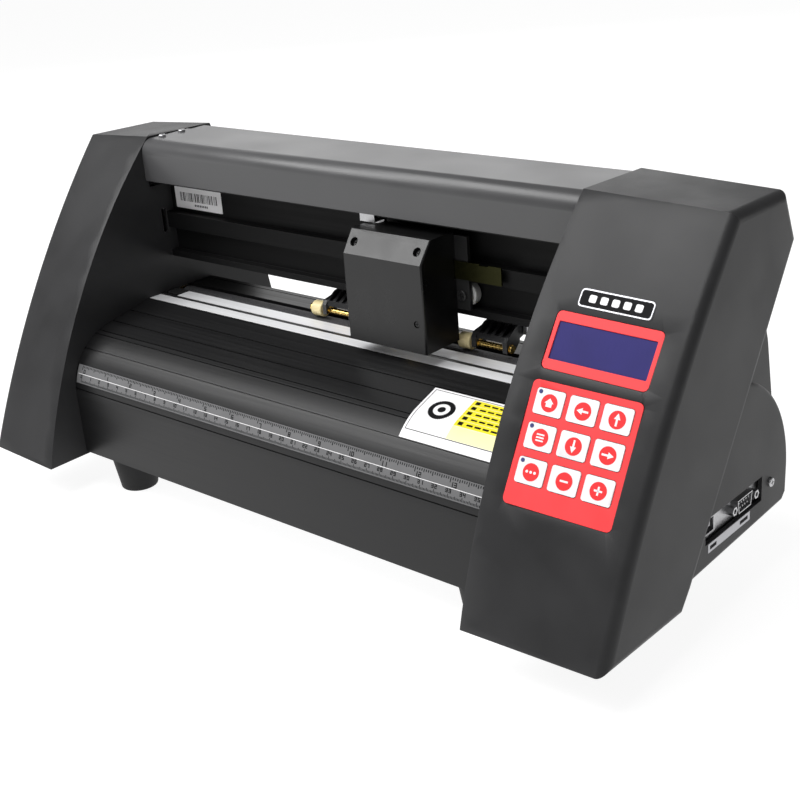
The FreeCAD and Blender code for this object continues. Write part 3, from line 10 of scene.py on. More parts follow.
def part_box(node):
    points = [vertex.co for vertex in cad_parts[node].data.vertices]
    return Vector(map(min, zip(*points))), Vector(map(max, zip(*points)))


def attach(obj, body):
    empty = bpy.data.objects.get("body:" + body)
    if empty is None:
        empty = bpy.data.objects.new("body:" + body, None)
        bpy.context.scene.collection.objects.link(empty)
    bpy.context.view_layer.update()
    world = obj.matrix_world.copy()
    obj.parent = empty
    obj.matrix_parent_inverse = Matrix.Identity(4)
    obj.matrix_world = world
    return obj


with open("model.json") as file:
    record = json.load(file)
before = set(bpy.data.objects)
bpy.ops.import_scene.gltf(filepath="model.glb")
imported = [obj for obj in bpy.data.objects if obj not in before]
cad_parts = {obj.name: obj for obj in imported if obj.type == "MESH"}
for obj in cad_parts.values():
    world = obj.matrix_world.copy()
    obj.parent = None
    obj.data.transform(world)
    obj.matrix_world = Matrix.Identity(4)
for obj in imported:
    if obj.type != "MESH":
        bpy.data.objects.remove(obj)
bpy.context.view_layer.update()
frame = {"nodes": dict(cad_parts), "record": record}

NODES = frame["nodes"]
BODIES = frame["record"]["behaviour"]["bodies"]
BODY_OF = {node: body for body, nodes in BODIES.items() for node in nodes}
MM = 0.001


# ---- camera, light and floor ---------------------------------------------------------------
CAMERA_AZIMUTH = 42.575      # degrees, from straight ahead towards the machine's right
CAMERA_ELEVATION = 22.458
CAMERA_ROLL = -4.546
CAMERA_PLACE = (0.56745, -0.57957, 0.41242)
CAMERA_LENS = 60.05
KEY_WATTS = 13.0
TOP_WATTS = 22.0
BACK_WATTS = 7.5
WORLD_STRENGTH = 0.2
FLOOR_GLOW = 0.9            # the floor's own light, as a lit white sweep has


def make_camera():
    azimuth = math.radians(CAMERA_AZIMUTH)
    elevation = math.radians(CAMERA_ELEVATION)
    back = Vector((math.sin(azimuth) * math.cos(elevation),
                   -math.cos(azimuth) * math.cos(elevation), math.sin(elevation)))
    right = Vector((math.cos(azimuth), math.sin(azimuth), 0.0))
    turn = Matrix.Rotation(math.radians(CAMERA_ROLL), 3, back)
    right = turn @ right
    up = back.cross(right)
    data = bpy.data.cameras.new("camera")
    data.lens = CAMERA_LENS
    data.sensor_width = 36.0
    data.clip_start = 0.01
    camera = bpy.data.objects.new("camera", data)
    basis = Matrix((right, up, back)).transposed().to_4x4()
    camera.matrix_world = Matrix.Translation(CAMERA_PLACE) @ basis
    bpy.context.scene.collection.objects.link(camera)
    bpy.context.scene.camera = camera


def area_light(name, place, target, size, power, tint=(1.0, 1.0, 1.0)):
    data = bpy.data.lights.new(name, "AREA")
    data.shape = "RECTANGLE"
    data.size, data.size_y = size
    data.energy = power
    data.color = tint
    light = bpy.data.objects.new(name, data)
    aim = Vector(target) - Vector(place)
    light.rotation_euler = aim.to_track_quat("-Z", "Y").to_euler()
    light.location = place
    bpy.context.scene.collection.objects.link(light)


def make_studio():
    """A soft key from the front left, a wide light above the front and one behind for the tops."""
    area_light("key_light", (-1.05, -0.835, 1.16), (0.0, 0.0, 0.12), (0.9, 0.6), KEY_WATTS)
    area_light("top_light", (-0.2, -0.55, 1.45), (0.0, 0.0, 0.15), (1.3, 0.8), TOP_WATTS)
    area_light("back_light", (-1.35, 1.55, 0.95), (0.0, 0.0, 0.15), (1.7, 0.8), BACK_WATTS)
    world = bpy.data.worlds.new("studio")
    world.use_nodes = True
    background = world.node_tree.nodes["Background"]
    background.inputs["Color"].default_value = (1.0, 1.0, 1.0, 1.0)
    background.inputs["Strength"].default_value = WORLD_STRENGTH
    bpy.context.scene.world = world
    bpy.context.scene.view_settings.view_transform = "Standard"
    mesh = bpy.data.meshes.new("floor")
    reach = 12.0
    corners = [(-reach, -reach, 0), (reach, -reach, 0), (reach, reach, 0), (-reach, reach, 0)]
    mesh.from_pydata(corners, [], [(0, 1, 2, 3)])
    floor = bpy.data.objects.new("floor", mesh)
    bpy.context.scene.collection.objects.link(floor)
    mesh.materials.append(floor_material())


# ---- material helpers ----------------------------------------------------------------------
def new_material(name):
    material = bpy.data.materials.new(name)
    material.use_nodes = True
    tree = material.node_tree
    shader = tree.nodes["Principled BSDF"]
    return material, tree, shader


def node(tree, kind, **inputs):
    made = tree.nodes.new(kind)
    for key, value in inputs.items():
        made.inputs[key.replace("_", " ")].default_value = value
    return made


def noise(tree, scale, detail=4.0, stretch=(1.0, 1.0, 1.0)):
    """Noise in the object's own coordinates, stretched along an axis where asked."""
    place = tree.nodes.new("ShaderNodeTexCoord")
    mapping = node(tree, "ShaderNodeMapping", Scale=stretch)
    texture = node(tree, "ShaderNodeTexNoise", Scale=scale, Detail=detail)
    tree.links.new(place.outputs["Object"], mapping.inputs["Vector"])
    tree.links.new(mapping.outputs["Vector"], texture.inputs["Vector"])
    return texture.outputs["Fac"]


def span(tree, source, low, high, from_low=0.3, from_high=0.7):
    """Map a texture's middle range to a range of values."""
    mapped = tree.nodes.new("ShaderNodeMapRange")
    mapped.inputs["From Min"].default_value = from_low
    mapped.inputs["From Max"].default_value = from_high
    mapped.inputs["To Min"].default_value = low
    mapped.inputs["To Max"].default_value = high
    tree.links.new(source, mapped.inputs["Value"])
    return mapped.outputs["Result"]


def blend_colours(tree, share, first, second):
    """Mix two colours, each a tuple or an output, by a texture."""
    mix = tree.nodes.new("ShaderNodeMix")
    mix.data_type = "RGBA"
    tree.links.new(share, mix.inputs["Factor"])
    for socket, colour in ((mix.inputs[6], first), (mix.inputs[7], second)):
        if isinstance(colour, tuple):
            socket.default_value = (*colour, 1.0)
        else:
            tree.links.new(colour, socket)
    return mix.outputs[2]


def edge_mask(tree, radius):
    """1 along sharp edges, where handling polishes a surface, and 0 elsewhere."""
    soft = tree.nodes.new("ShaderNodeBevel")
    soft.inputs["Radius"].default_value = radius
    flat = tree.nodes.new("ShaderNodeNewGeometry")
    dot = tree.nodes.new("ShaderNodeVectorMath")
    dot.operation = "DOT_PRODUCT"
    tree.links.new(soft.outputs["Normal"], dot.inputs[0])
    tree.links.new(flat.outputs["Normal"], dot.inputs[1])
    return span(tree, dot.outputs["Value"], 1.0, 0.0, 0.75, 0.98)


def bumps(tree, shader, layers, distance):
    """Bump from several textures, each a (texture, strength) pair."""
    normal = None
    for texture, strength in layers:
        bump = node(tree, "ShaderNodeBump", Strength=strength, Distance=distance)
        tree.links.new(texture, bump.inputs["Height"])
        if normal is not None:
            tree.links.new(normal, bump.inputs["Normal"])
        normal = bump.outputs["Normal"]
    tree.links.new(normal, shader.inputs["Normal"])


def shade(colour, factor):
    return tuple(min(1.0, c * factor) for c in colour)


# ---- materials -----------------------------------------------------------------------------
def moulded(name, colour, rough=0.5, grain=2600.0, grain_depth=0.25, wear=1.5, mottle=0.12, gloss=0.5):
    """Moulded plastic: a fine spark-eroded grain, faint mottling and paler edges."""
    material, tree, shader = new_material(name)
    cloud = noise(tree, 28.0, 3.0)
    tint = blend_colours(tree, span(tree, cloud, 0.0, 1.0), shade(colour, 1.0 - mottle),
                         shade(colour, 1.0 + mottle))
    tint = blend_colours(tree, edge_mask(tree, 0.0008), tint, shade(colour, wear))
    tree.links.new(tint, shader.inputs["Base Color"])
    fine = noise(tree, grain, 2.0)
    tree.links.new(span(tree, cloud, rough - 0.05, rough + 0.05), shader.inputs["Roughness"])
    shader.inputs["Specular IOR Level"].default_value = gloss
    bumps(tree, shader, [(fine, grain_depth), (noise(tree, 420.0, 2.0), grain_depth * 0.4)], 0.00015)
    return material


def drawn(name, colour, rough=0.32, metal=1.0, streak=0.12, depth=0.12, gloss=0.5):
    """Drawn or brushed metal: streaks that run along X."""
    material, tree, shader = new_material(name)
    lines = noise(tree, 1.0, 5.0, (6.0, 900.0, 900.0))
    tint = blend_colours(tree, span(tree, lines, 0.0, 1.0), shade(colour, 1.0 - streak),
                         shade(colour, 1.0 + streak))
    handled = span(tree, noise(tree, 9.0, 3.0), 0.0, 0.5, 0.5, 0.8)
    tint = blend_colours(tree, handled, tint, shade(colour, 1.25))
    tree.links.new(tint, shader.inputs["Base Color"])
    shader.inputs["Metallic"].default_value = metal
    shader.inputs["Specular IOR Level"].default_value = gloss
    tree.links.new(span(tree, lines, rough - 0.06, rough + 0.08), shader.inputs["Roughness"])
    bumps(tree, shader, [(lines, depth)], 0.00005)
    return material


def turned(name, colour, rough=0.28, metal=1.0):
    """Turned or plated small metal parts: fine even tool marks and light spots."""
    material, tree, shader = new_material(name)
    spots = noise(tree, 650.0, 3.0)
    tint = blend_colours(tree, span(tree, spots, 0.0, 1.0), shade(colour, 0.86), shade(colour, 1.08))
    tint = blend_colours(tree, edge_mask(tree, 0.0004), tint, shade(colour, 1.3))
    tree.links.new(tint, shader.inputs["Base Color"])
    shader.inputs["Metallic"].default_value = metal
    tree.links.new(span(tree, spots, rough - 0.06, rough + 0.1), shader.inputs["Roughness"])
    bumps(tree, shader, [(noise(tree, 1800.0, 2.0), 0.12)], 0.00008)
    return material


def coated(name, colour, rough=0.42):
    """Powder-coated metal: orange-peel bumps under a satin coat."""
    material, tree, shader = new_material(name)
    cloud = noise(tree, 16.0, 2.0)
    tint = blend_colours(tree, span(tree, cloud, 0.0, 1.0), shade(colour, 0.94), shade(colour, 1.06))
    tint = blend_colours(tree, edge_mask(tree, 0.0007), tint, shade(colour, 1.5))
    tree.links.new(tint, shader.inputs["Base Color"])
    tree.links.new(span(tree, cloud, rough - 0.03, rough + 0.05), shader.inputs["Roughness"])
    bumps(tree, shader, [(noise(tree, 900.0, 2.0), 0.22)], 0.00012)
    return material


def printed(name, colour, rough=0.28, coat=0.25, gloss=0.5):
    """Printed polyester film: smooth, slightly uneven in tone, under a gloss layer."""
    material, tree, shader = new_material(name)
    cloud = noise(tree, 60.0, 2.0)
    tint = blend_colours(tree, span(tree, cloud, 0.0, 1.0), shade(colour, 0.95), shade(colour, 1.04))
    tree.links.new(tint, shader.inputs["Base Color"])
    tree.links.new(span(tree, cloud, rough - 0.04, rough + 0.04), shader.inputs["Roughness"])
    shader.inputs["Coat Weight"].default_value = coat
    shader.inputs["Coat Roughness"].default_value = 0.3
    shader.inputs["Specular IOR Level"].default_value = gloss
    bumps(tree, shader, [(noise(tree, 1400.0, 2.0), 0.06)], 0.00008)
    return material


def grit(name, colour, rough=0.6):
    """The feed roller's grit bands: coarse sparkling grains on dark steel."""
    material, tree, shader = new_material(name)
    place = tree.nodes.new("ShaderNodeTexCoord")
    cells = node(tree, "ShaderNodeTexVoronoi", Scale=1900.0)
    tree.links.new(place.outputs["Object"], cells.inputs["Vector"])
    tint = blend_colours(tree, span(tree, cells.outputs["Distance"], 0.0, 1.0, 0.1, 0.7),
                         shade(colour, 1.9), shade(colour, 0.6))
    tree.links.new(tint, shader.inputs["Base Color"])
    shader.inputs["Metallic"].default_value = 0.6
    shader.inputs["Roughness"].default_value = rough
    bumps(tree, shader, [(cells.outputs["Distance"], 0.6)], 0.0003)
    return material


def screen_material():
    """Dark blue liquid-crystal glass, slightly uneven in tone."""
    material, tree, shader = new_material("screen_glass")
    cloud = noise(tree, 45.0, 2.0)
    tint = blend_colours(tree, span(tree, cloud, 0.0, 1.0), (0.03, 0.027, 0.13), (0.036, 0.032, 0.155))
    tree.links.new(tint, shader.inputs["Base Color"])
    tree.links.new(span(tree, cloud, 0.45, 0.55), shader.inputs["Roughness"])
    shader.inputs["Specular IOR Level"].default_value = 0.1
    bumps(tree, shader, [(noise(tree, 700.0, 1.0), 0.03)], 0.00005)
    return material


AXLE_REACH = 3.1 * MM        # a little more than the radius of the axle's ends


def arm_material():
    """The pinch arm's black plastic, with its brass axle told apart by its distance from the axis."""
    material, tree, plastic = new_material("pinch_arm_plastic")
    cloud = noise(tree, 40.0, 3.0)
    tint = blend_colours(tree, span(tree, cloud, 0.0, 1.0), (0.008, 0.008, 0.009), (0.014, 0.014, 0.015))
    tree.links.new(tint, plastic.inputs["Base Color"])
    tree.links.new(span(tree, cloud, 0.35, 0.45), plastic.inputs["Roughness"])
    bumps(tree, plastic, [(noise(tree, 2000.0, 2.0), 0.2)], 0.0001)
    low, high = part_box("pinch_wheel_left")
    axis_y = (low.y + high.y) / 2
    axis_z = (low.z + high.z) / 2
    brass = node(tree, "ShaderNodeBsdfPrincipled", Metallic=1.0)
    marks = noise(tree, 1.0, 3.0, (900.0, 60.0, 60.0))
    brass_tint = blend_colours(tree, span(tree, marks, 0.0, 1.0), (0.75, 0.5, 0.13), (0.9, 0.66, 0.24))
    tree.links.new(brass_tint, brass.inputs["Base Color"])
    tree.links.new(span(tree, marks, 0.2, 0.32), brass.inputs["Roughness"])
    place = tree.nodes.new("ShaderNodeTexCoord")
    flatten = node(tree, "ShaderNodeVectorMath")
    flatten.operation = "MULTIPLY_ADD"
    flatten.inputs[1].default_value = (0.0, 1.0, 1.0)
    flatten.inputs[2].default_value = (0.0, -axis_y, -axis_z)
    reach = node(tree, "ShaderNodeVectorMath")
    reach.operation = "LENGTH"
    near = node(tree, "ShaderNodeMath")
    near.operation = "LESS_THAN"
    near.inputs[1].default_value = AXLE_REACH
    mix = tree.nodes.new("ShaderNodeMixShader")
    tree.links.new(place.outputs["Object"], flatten.inputs[0])
    tree.links.new(flatten.outputs["Vector"], reach.inputs[0])
    tree.links.new(reach.outputs["Value"], near.inputs[0])
    tree.links.new(near.outputs["Value"], mix.inputs["Fac"])
    tree.links.new(plastic.outputs["BSDF"], mix.inputs[1])
    tree.links.new(brass.outputs["BSDF"], mix.inputs[2])
    output = tree.nodes["Material Output"]
    tree.links.new(mix.outputs["Shader"], output.inputs["Surface"])
    return material


def floor_material():
    """A pale, softly mottled studio floor that gives off light of its own."""
    material, tree, shader = new_material("floor_white")
    cloud = noise(tree, 3.0, 2.0)
    tint = blend_colours(tree, cloud, (0.25, 0.25, 0.25), (0.26, 0.26, 0.26))
    tree.links.new(tint, shader.inputs["Base Color"])
    shader.inputs["Roughness"].default_value = 0.9
    shader.inputs["Emission Color"].default_value = (1.0, 1.0, 1.0, 1.0)
    shader.inputs["Emission Strength"].default_value = FLOOR_GLOW
    return material


MATERIALS = {}


def make_materials():
    """Every finish of the machine, by name."""
    MATERIALS.update({
        "cover_plastic": moulded("cover_plastic", (0.023, 0.023, 0.024), 0.44, wear=1.7, gloss=0.25),
        # Carriage plastic: black of its own, with a darker base than the cover plastic as painted shade
        # for the carriage under the beam.
        "shaded_carriage_plastic": moulded("shaded_carriage_plastic", (0.004, 0.004, 0.0042), 0.3, wear=1.5,
                                    mottle=0.03, gloss=0.42),
        "beam_paint": coated("beam_paint", (0.06, 0.06, 0.062), 0.34),
        "bed_metal": drawn("bed_metal", (0.008, 0.008, 0.0084), 0.38, 0.0, streak=0.2, gloss=0.3),
        "strip_metal": drawn("strip_metal", (0.88, 0.885, 0.9), 0.42, 0.3, streak=0.05, depth=0.05),
        "rail_metal": drawn("rail_metal", (0.004, 0.004, 0.0042), 0.5, 0.0, streak=0.2, gloss=0.15),
        "black_plastic": moulded("black_plastic", (0.012, 0.012, 0.0125), 0.4, wear=2.0, gloss=0.4),
        "white_plastic": moulded("white_plastic", (0.5, 0.5, 0.49), 0.42, wear=1.1, mottle=0.04),
        "key_white": moulded("key_white", (0.82, 0.8, 0.81), 0.45, grain_depth=0.12, wear=1.05,
                             mottle=0.03, gloss=0.3),
        "coral_panel": printed("coral_panel", (0.93, 0.055, 0.06), 0.5, 0.0, 0.3),
        "screen_glass": screen_material(),
        "steel": turned("steel", (0.5, 0.5, 0.51), 0.34),
        "black_steel": coated("black_steel", (0.012, 0.012, 0.0125), 0.4),
        "roller_steel": grit("roller_steel", (0.05, 0.05, 0.053)),
        "brass": turned("brass", (0.72, 0.52, 0.2), 0.26),
        # Flag brass: brass darkened to near black, painted shade on the home flag.
        "flag_brass": turned("flag_brass", (0.03, 0.03, 0.012), 0.4),
        "rubber": moulded("rubber", (0.01, 0.01, 0.0105), 0.65, 1500.0, 0.4, 1.6, gloss=0.3),
        "motor_black": coated("motor_black", (0.02, 0.02, 0.022), 0.38),
        "board_green": printed("board_green", (0.02, 0.13, 0.05), 0.35, 0.3),
        "ruler_film": printed("ruler_film", (0.15, 0.15, 0.153), 0.5, 0.0, 0.2),
        "urethane": moulded("urethane", (0.78, 0.66, 0.36), 0.42, 1500.0, 0.25, 1.1, 0.06),
        "arm_plastic": arm_material(),
        "red_ink": printed("red_ink", (0.84, 0.03, 0.035), 0.5, 0.0, 0.3),
        "white_ink": printed("white_ink", (0.86, 0.85, 0.86), 0.45, 0.0, 0.3),
        "black_ink": printed("black_ink", (0.006, 0.006, 0.007), 0.6, 0.0, 0.1),
        "blue_lens": printed("blue_lens", (0.05, 0.06, 0.2), 0.25, 0.3),
        "yellow_ink": printed("yellow_ink", (0.86, 0.76, 0.03), 0.45, 0.0, 0.3),
        "pale_ink": printed("pale_ink", (0.86, 0.84, 0.45), 0.45, 0.0, 0.3),
        "silver_ink": drawn("silver_ink", (0.42, 0.42, 0.44), 0.35, 0.8, streak=0.06),
    })


# Nodes whose finish differs a little from the rest of their slot; the carriage cover's plastic is black of
# its own and darkened further as painted shade, for the carriage in shade under the beam.
OWN_FINISH = {"carriage_cover": "shaded_carriage_plastic", "belt_clamp": "steel", "pinch_arm_left": "arm_plastic",
              "pinch_arm_right": "arm_plastic"}


def paint_nodes():
    """Each CAD node takes the material of its slot."""
    for entry in frame["record"]["subparts"]:
        mesh = NODES[entry["node"]].data
        mesh.materials.clear()
        finish = OWN_FINISH.get(entry["node"], entry["material_slot"])
        mesh.materials.append(MATERIALS[finish])


# ---- mesh helpers --------------------------------------------------------------------------
def piece(name, mesh, body, material):
    """A finished piece: its object, body and material."""
    made = bpy.data.objects.new(name, mesh)
    bpy.context.scene.collection.objects.link(made)
    mesh.materials.append(MATERIALS[material])
    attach(made, body)


SMOOTH_ANGLE = math.radians(35.0)


def to_mesh(name, bm):
    """A mesh with its faces outwards, smooth but for its sharp edges."""
    bmesh.ops.recalc_face_normals(bm, faces=bm.faces)
    mesh = bpy.data.meshes.new(name)
    bm.to_mesh(mesh)
    bm.free()
    mesh.shade_smooth()
    mesh.set_sharp_from_angle(angle=SMOOTH_ANGLE)
    return mesh


def rounded_outline(width, height, corner, steps=6, centre=(0.0, 0.0)):
    """Points round a rectangle with round corners."""
    points = []
    for quarter in range(4):
        angle0 = quarter * math.pi / 2
        side_x = 1 if quarter in (0, 3) else -1
        side_y = 1 if quarter in (0, 1) else -1
        middle_x = centre[0] + side_x * (width / 2 - corner)
        middle_y = centre[1] + side_y * (height / 2 - corner)
        for step in range(steps + 1):
            angle = angle0 + step * math.pi / 2 / steps
            points.append((middle_x + corner * math.cos(angle), middle_y + corner * math.sin(angle)))
    return points


def circle_outline(radius, centre=(0.0, 0.0), steps=32):
    return [(centre[0] + radius * math.cos(2 * math.pi * i / steps),
             centre[1] + radius * math.sin(2 * math.pi * i / steps)) for i in range(steps)]


def slab(bm, outline, low, high, frame_matrix, ease=0.0):
    """A closed plate over an outline, with its upper rim eased, laid in a local frame."""
    rings = [[Vector((x, y, low)) for x, y in outline]]
    middle = sum((Vector((x, y, 0)) for x, y in outline), Vector()) / len(outline)
    if ease:
        rings.append([Vector((x, y, high - ease)) for x, y in outline])
        inner = []
        for x, y in outline:
            towards = (middle - Vector((x, y, 0))).normalized() * ease
            inner.append(Vector((x + towards.x, y + towards.y, high)))
        rings.append(inner)
    else:
        rings.append([Vector((x, y, high)) for x, y in outline])
    made = [[bm.verts.new(frame_matrix @ p) for p in ring] for ring in rings]
    count = len(outline)
    for lower, upper in zip(made, made[1:]):
        for i in range(count):
            j = (i + 1) % count
            bm.faces.new((lower[i], lower[j], upper[j], upper[i]))
    bm.faces.new(list(reversed(made[0])))
    bm.faces.new(made[-1])


def ribbon(bm, rows):
    """A thin closed sheet through rows of four corner points, with its two ends shut."""
    made = [[bm.verts.new(point) for point in row] for row in rows]
    for first, second in zip(made, made[1:]):
        for i in range(4):
            j = (i + 1) % 4
            bm.faces.new((first[i], first[j], second[j], second[i]))
    bm.faces.new(made[0])
    bm.faces.new(list(reversed(made[-1])))


def face_frame(node_name, outward):
    """A frame on a plate node's outer face: X right, Y up the face, Z out of it."""
    mesh = NODES[node_name].data
    total = Vector()
    for polygon in mesh.polygons:
        if polygon.normal.dot(outward) > 0.9:
            total += polygon.normal * polygon.area
    out = total.normalized()
    up = Vector((0, out.z, -out.y)).normalized()
    right = up.cross(out)
    points = [v.co for v in mesh.vertices]
    basis = Matrix((right, up, out)).transposed()
    local = [basis.transposed() @ p for p in points]
    x = (min(p.x for p in local) + max(p.x for p in local)) / 2
    y = (min(p.y for p in local) + max(p.y for p in local)) / 2
    z = max(p.z for p in local)
    return Matrix.Translation(basis @ Vector((x, y, z))) @ basis.to_4x4()


PANEL_OUT = Vector((0.09, -0.85, 0.52)).normalized()


# ---- control panel -------------------------------------------------------------------------
DISC_R = 4.7 * MM
INK = 0.12 * MM          # how far printed and inlaid marks stand out
MARK_SHIFT = 0.2 * MM        # the discs sit a little off the keys' centres
LAMP_PLACE = (-6.1 * MM, 4.9 * MM)
CELL_W = 2.6 * MM            # character cells of the display
CELL_H = 4.8 * MM
CELL_PITCH = (3.1 * MM, 6.4 * MM)
CELL_COLUMNS = 16
CELL_ROWS = 2
BADGE_UP = 5.6 * MM          # from the display's frame to the badge's middle
BADGE_BLOCK = 4.2 * MM
BADGE_PITCH = 6.6 * MM


def arrow_outline(angle):
    """A plain block arrow that points along an angle."""
    points = [(-3.3, -0.55), (0.2, -0.55), (0.2, -1.75), (3.4, 0.0), (0.2, 1.75), (0.2, 0.55),
              (-3.3, 0.55)]
    c = math.cos(angle)
    s = math.sin(angle)
    return [((x * c - y * s) * MM, (x * s + y * c) * MM) for x, y in points]


def bar_outline(width, height, x=0.0, y=0.0):
    return [(x - width / 2, y - height / 2), (x + width / 2, y - height / 2),
            (x + width / 2, y + height / 2), (x - width / 2, y + height / 2)]


def key_marks(key):
    """Outlines of the white mark in a key's red disc."""
    arrows = {"left": math.pi, "right": 0.0, "up": math.pi / 2, "down": -math.pi / 2}
    if key in arrows:
        return [arrow_outline(arrows[key])]
    if key == "plus":
        return [bar_outline(4.6 * MM, 1.0 * MM), bar_outline(1.0 * MM, 4.6 * MM)]
    if key == "minus":
        return [bar_outline(4.6 * MM, 1.0 * MM)]
    if key == "home":
        return [[(-2.6 * MM, -0.1 * MM), (0.0, 2.5 * MM), (2.6 * MM, -0.1 * MM), (1.7 * MM, -0.1 * MM),
                 (1.7 * MM, -2.1 * MM), (-1.7 * MM, -2.1 * MM), (-1.7 * MM, -0.1 * MM)]]
    if key == "option":
        return [bar_outline(4.4 * MM, 0.8 * MM, 0.0, dy * MM) for dy in (-1.6, 0.0, 1.6)]
    return [circle_outline(0.75 * MM, (dx * MM, 0.0), 16) for dx in (-2.3, 0.0, 2.3)]


def dress_key(key):
    """The red disc, its white mark and, on the left column, a small lamp lens."""
    node_name = "key_" + key
    place = face_frame(node_name, PANEL_OUT)
    body = BODY_OF[node_name]
    disc = bmesh.new()
    slab(disc, circle_outline(DISC_R, (MARK_SHIFT, -MARK_SHIFT), 48), -0.2 * MM, INK, place, 0.04 * MM)
    piece(node_name + "_disc", to_mesh(node_name + "_disc", disc), body, "red_ink")
    marks = bmesh.new()
    for outline in key_marks(key):
        shifted = [(x + MARK_SHIFT, y - MARK_SHIFT) for x, y in outline]
        slab(marks, shifted, 0.02 * MM, 2 * INK, place)
    piece(node_name + "_mark", to_mesh(node_name + "_mark", marks), body, "white_ink")
    if key in ("home", "option", "setup"):
        lens = bmesh.new()
        slab(lens, circle_outline(1.15 * MM, LAMP_PLACE, 24), -0.2 * MM, 0.3 * MM, place, 0.15 * MM)
        piece(node_name + "_lamp", to_mesh(node_name + "_lamp", lens), body, "blue_lens")


def dress_display():
    """Faint character cells under the screen's surface, in two rows."""
    place = face_frame("lcd_screen", PANEL_OUT)
    cells = bmesh.new()
    for row in range(CELL_ROWS):
        for column in range(CELL_COLUMNS):
            x = (column - (CELL_COLUMNS - 1) / 2) * CELL_PITCH[0]
            y = ((CELL_ROWS - 1) / 2 - row) * CELL_PITCH[1]
            slab(cells, bar_outline(CELL_W, CELL_H, x, y), -0.05 * MM, 0.02 * MM, place)
    piece("screen_cells", to_mesh("screen_cells", cells), "chassis", "screen_glass")


def surface_frame(node_name, x, z, start_y=-0.3):
    """A frame on the front of a node, found by looking along +Y at a width and a height."""
    _, place, normal, _ = NODES[node_name].ray_cast(Vector((x, start_y, z)), Vector((0, 1, 0)))
    out = normal.normalized()
    up = Vector((0, out.z, -out.y)).normalized()
    right = up.cross(out)
    return Matrix.Translation(place) @ Matrix((right, up, out)).transposed().to_4x4()


def make_badge():
    """A plain name plate with no name: a dark field in a bright rim, with five plain blocks."""
    low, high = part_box("lcd_bezel")
    place = surface_frame("right_cover", (low.x + high.x) / 2, high.z + BADGE_UP)
    rim = bmesh.new()
    slab(rim, rounded_outline(42.5 * MM, 10.2 * MM, 2.2 * MM), -0.6 * MM, 0.55 * MM, place, 0.3 * MM)
    piece("badge_rim", to_mesh("badge_rim", rim), "chassis", "silver_ink")
    field = bmesh.new()
    slab(field, rounded_outline(40.6 * MM, 8.4 * MM, 1.6 * MM), 0.3 * MM, 0.7 * MM, place, 0.1 * MM)
    piece("badge_field", to_mesh("badge_field", field), "chassis", "black_ink")
    blocks = bmesh.new()
    for index in range(5):
        outline = rounded_outline(BADGE_BLOCK, BADGE_BLOCK, 0.9 * MM, 4, ((index - 2) * BADGE_PITCH, 0.0))
        slab(blocks, outline, 0.6 * MM, 0.9 * MM, place, 0.08 * MM)
    piece("badge_blocks", to_mesh("badge_blocks", blocks), "chassis", "white_ink")


# ---- bed -----------------------------------------------------------------------------------
NOSE_R = 42.0 * MM
NOSE_Z = 73.5 * MM           # height of the nose's axis
RULER_ANGLE = math.radians(149.5)    # the ruler's upper edge, round the nose
INCH = 25.4 * MM
CENTIMETRE = 10 * MM
RULER_START = 5.0 * MM       # the scales start this far in from the film's left end
RULER_STOP = 3.0 * MM        # and end this far in from its right end
INCH_TOP = 0.6 * MM          # distances down the film: where the inch marks start
CENTIMETRE_FOOT = 12.4 * MM  # where the centimetre marks end
PRINT = 0.05 * MM            # how far the ruler's print stands out
SUNK = -0.1 * MM             # how far printed bars and sheets reach into what they lie on


def nose_centre():
    """The axis of the bed's round nose, its depth from the bed's own box."""
    low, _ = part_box("bed_front")
    return low.y + NOSE_R, NOSE_Z


def on_nose(x, along, height):
    """A point on the nose: distance along its surface from the ruler's upper edge."""
    centre_y, centre_z = nose_centre()
    angle = RULER_ANGLE + along / NOSE_R
    radius = NOSE_R + height
    return Vector((x, centre_y + radius * math.cos(angle), centre_z + radius * math.sin(angle)))


def nose_bar(bm, x0, x1, a0, a1, height=PRINT):
    """A thin bar printed on the nose between two widths and two distances along it."""
    ribbon(bm, [[on_nose(x, along, lift) for x, lift in
                 ((x0, SUNK), (x0, height), (x1, height), (x1, SUNK))] for along in (a0, a1)])


SEGMENTS = {"0": "abcdef", "1": "bc", "2": "abged", "3": "abgcd", "4": "fgbc", "5": "afgcd",
            "6": "afgedc", "7": "abc", "8": "abcdefg", "9": "abcdfg"}


def digit_bars(digit, width, height, stroke):
    """The strokes of a seven-bar digit as (x0, x1, a0, a1), with distances counted downwards."""
    middle = height / 2
    places = {"a": (0, width, 0, stroke), "d": (0, width, height - stroke, height),
              "g": (0, width, middle - stroke / 2, middle + stroke / 2),
              "f": (0, stroke, 0, middle), "b": (width - stroke, width, 0, middle),
              "e": (0, stroke, middle, height), "c": (width - stroke, width, middle, height)}
    return [places[name] for name in SEGMENTS[digit]]


def print_number(bm, number, x, along, width, height):
    """A whole number in seven-bar digits, centred on a width."""
    text = str(number)
    advance = width * 1.35
    start = x - (len(text) - 1) * advance / 2 - width / 2
    for index, digit in enumerate(text):
        left = start + index * advance
        for x0, x1, a0, a1 in digit_bars(digit, width, height, width * 0.28):
            nose_bar(bm, left + x0, left + x1, along + a0, along + a1)


def tick_reach(index, reaches):
    """How long a mark is: each reach belongs to the marks that its count divides."""
    return next(reach for count, reach in reaches if index % count == 0) * MM


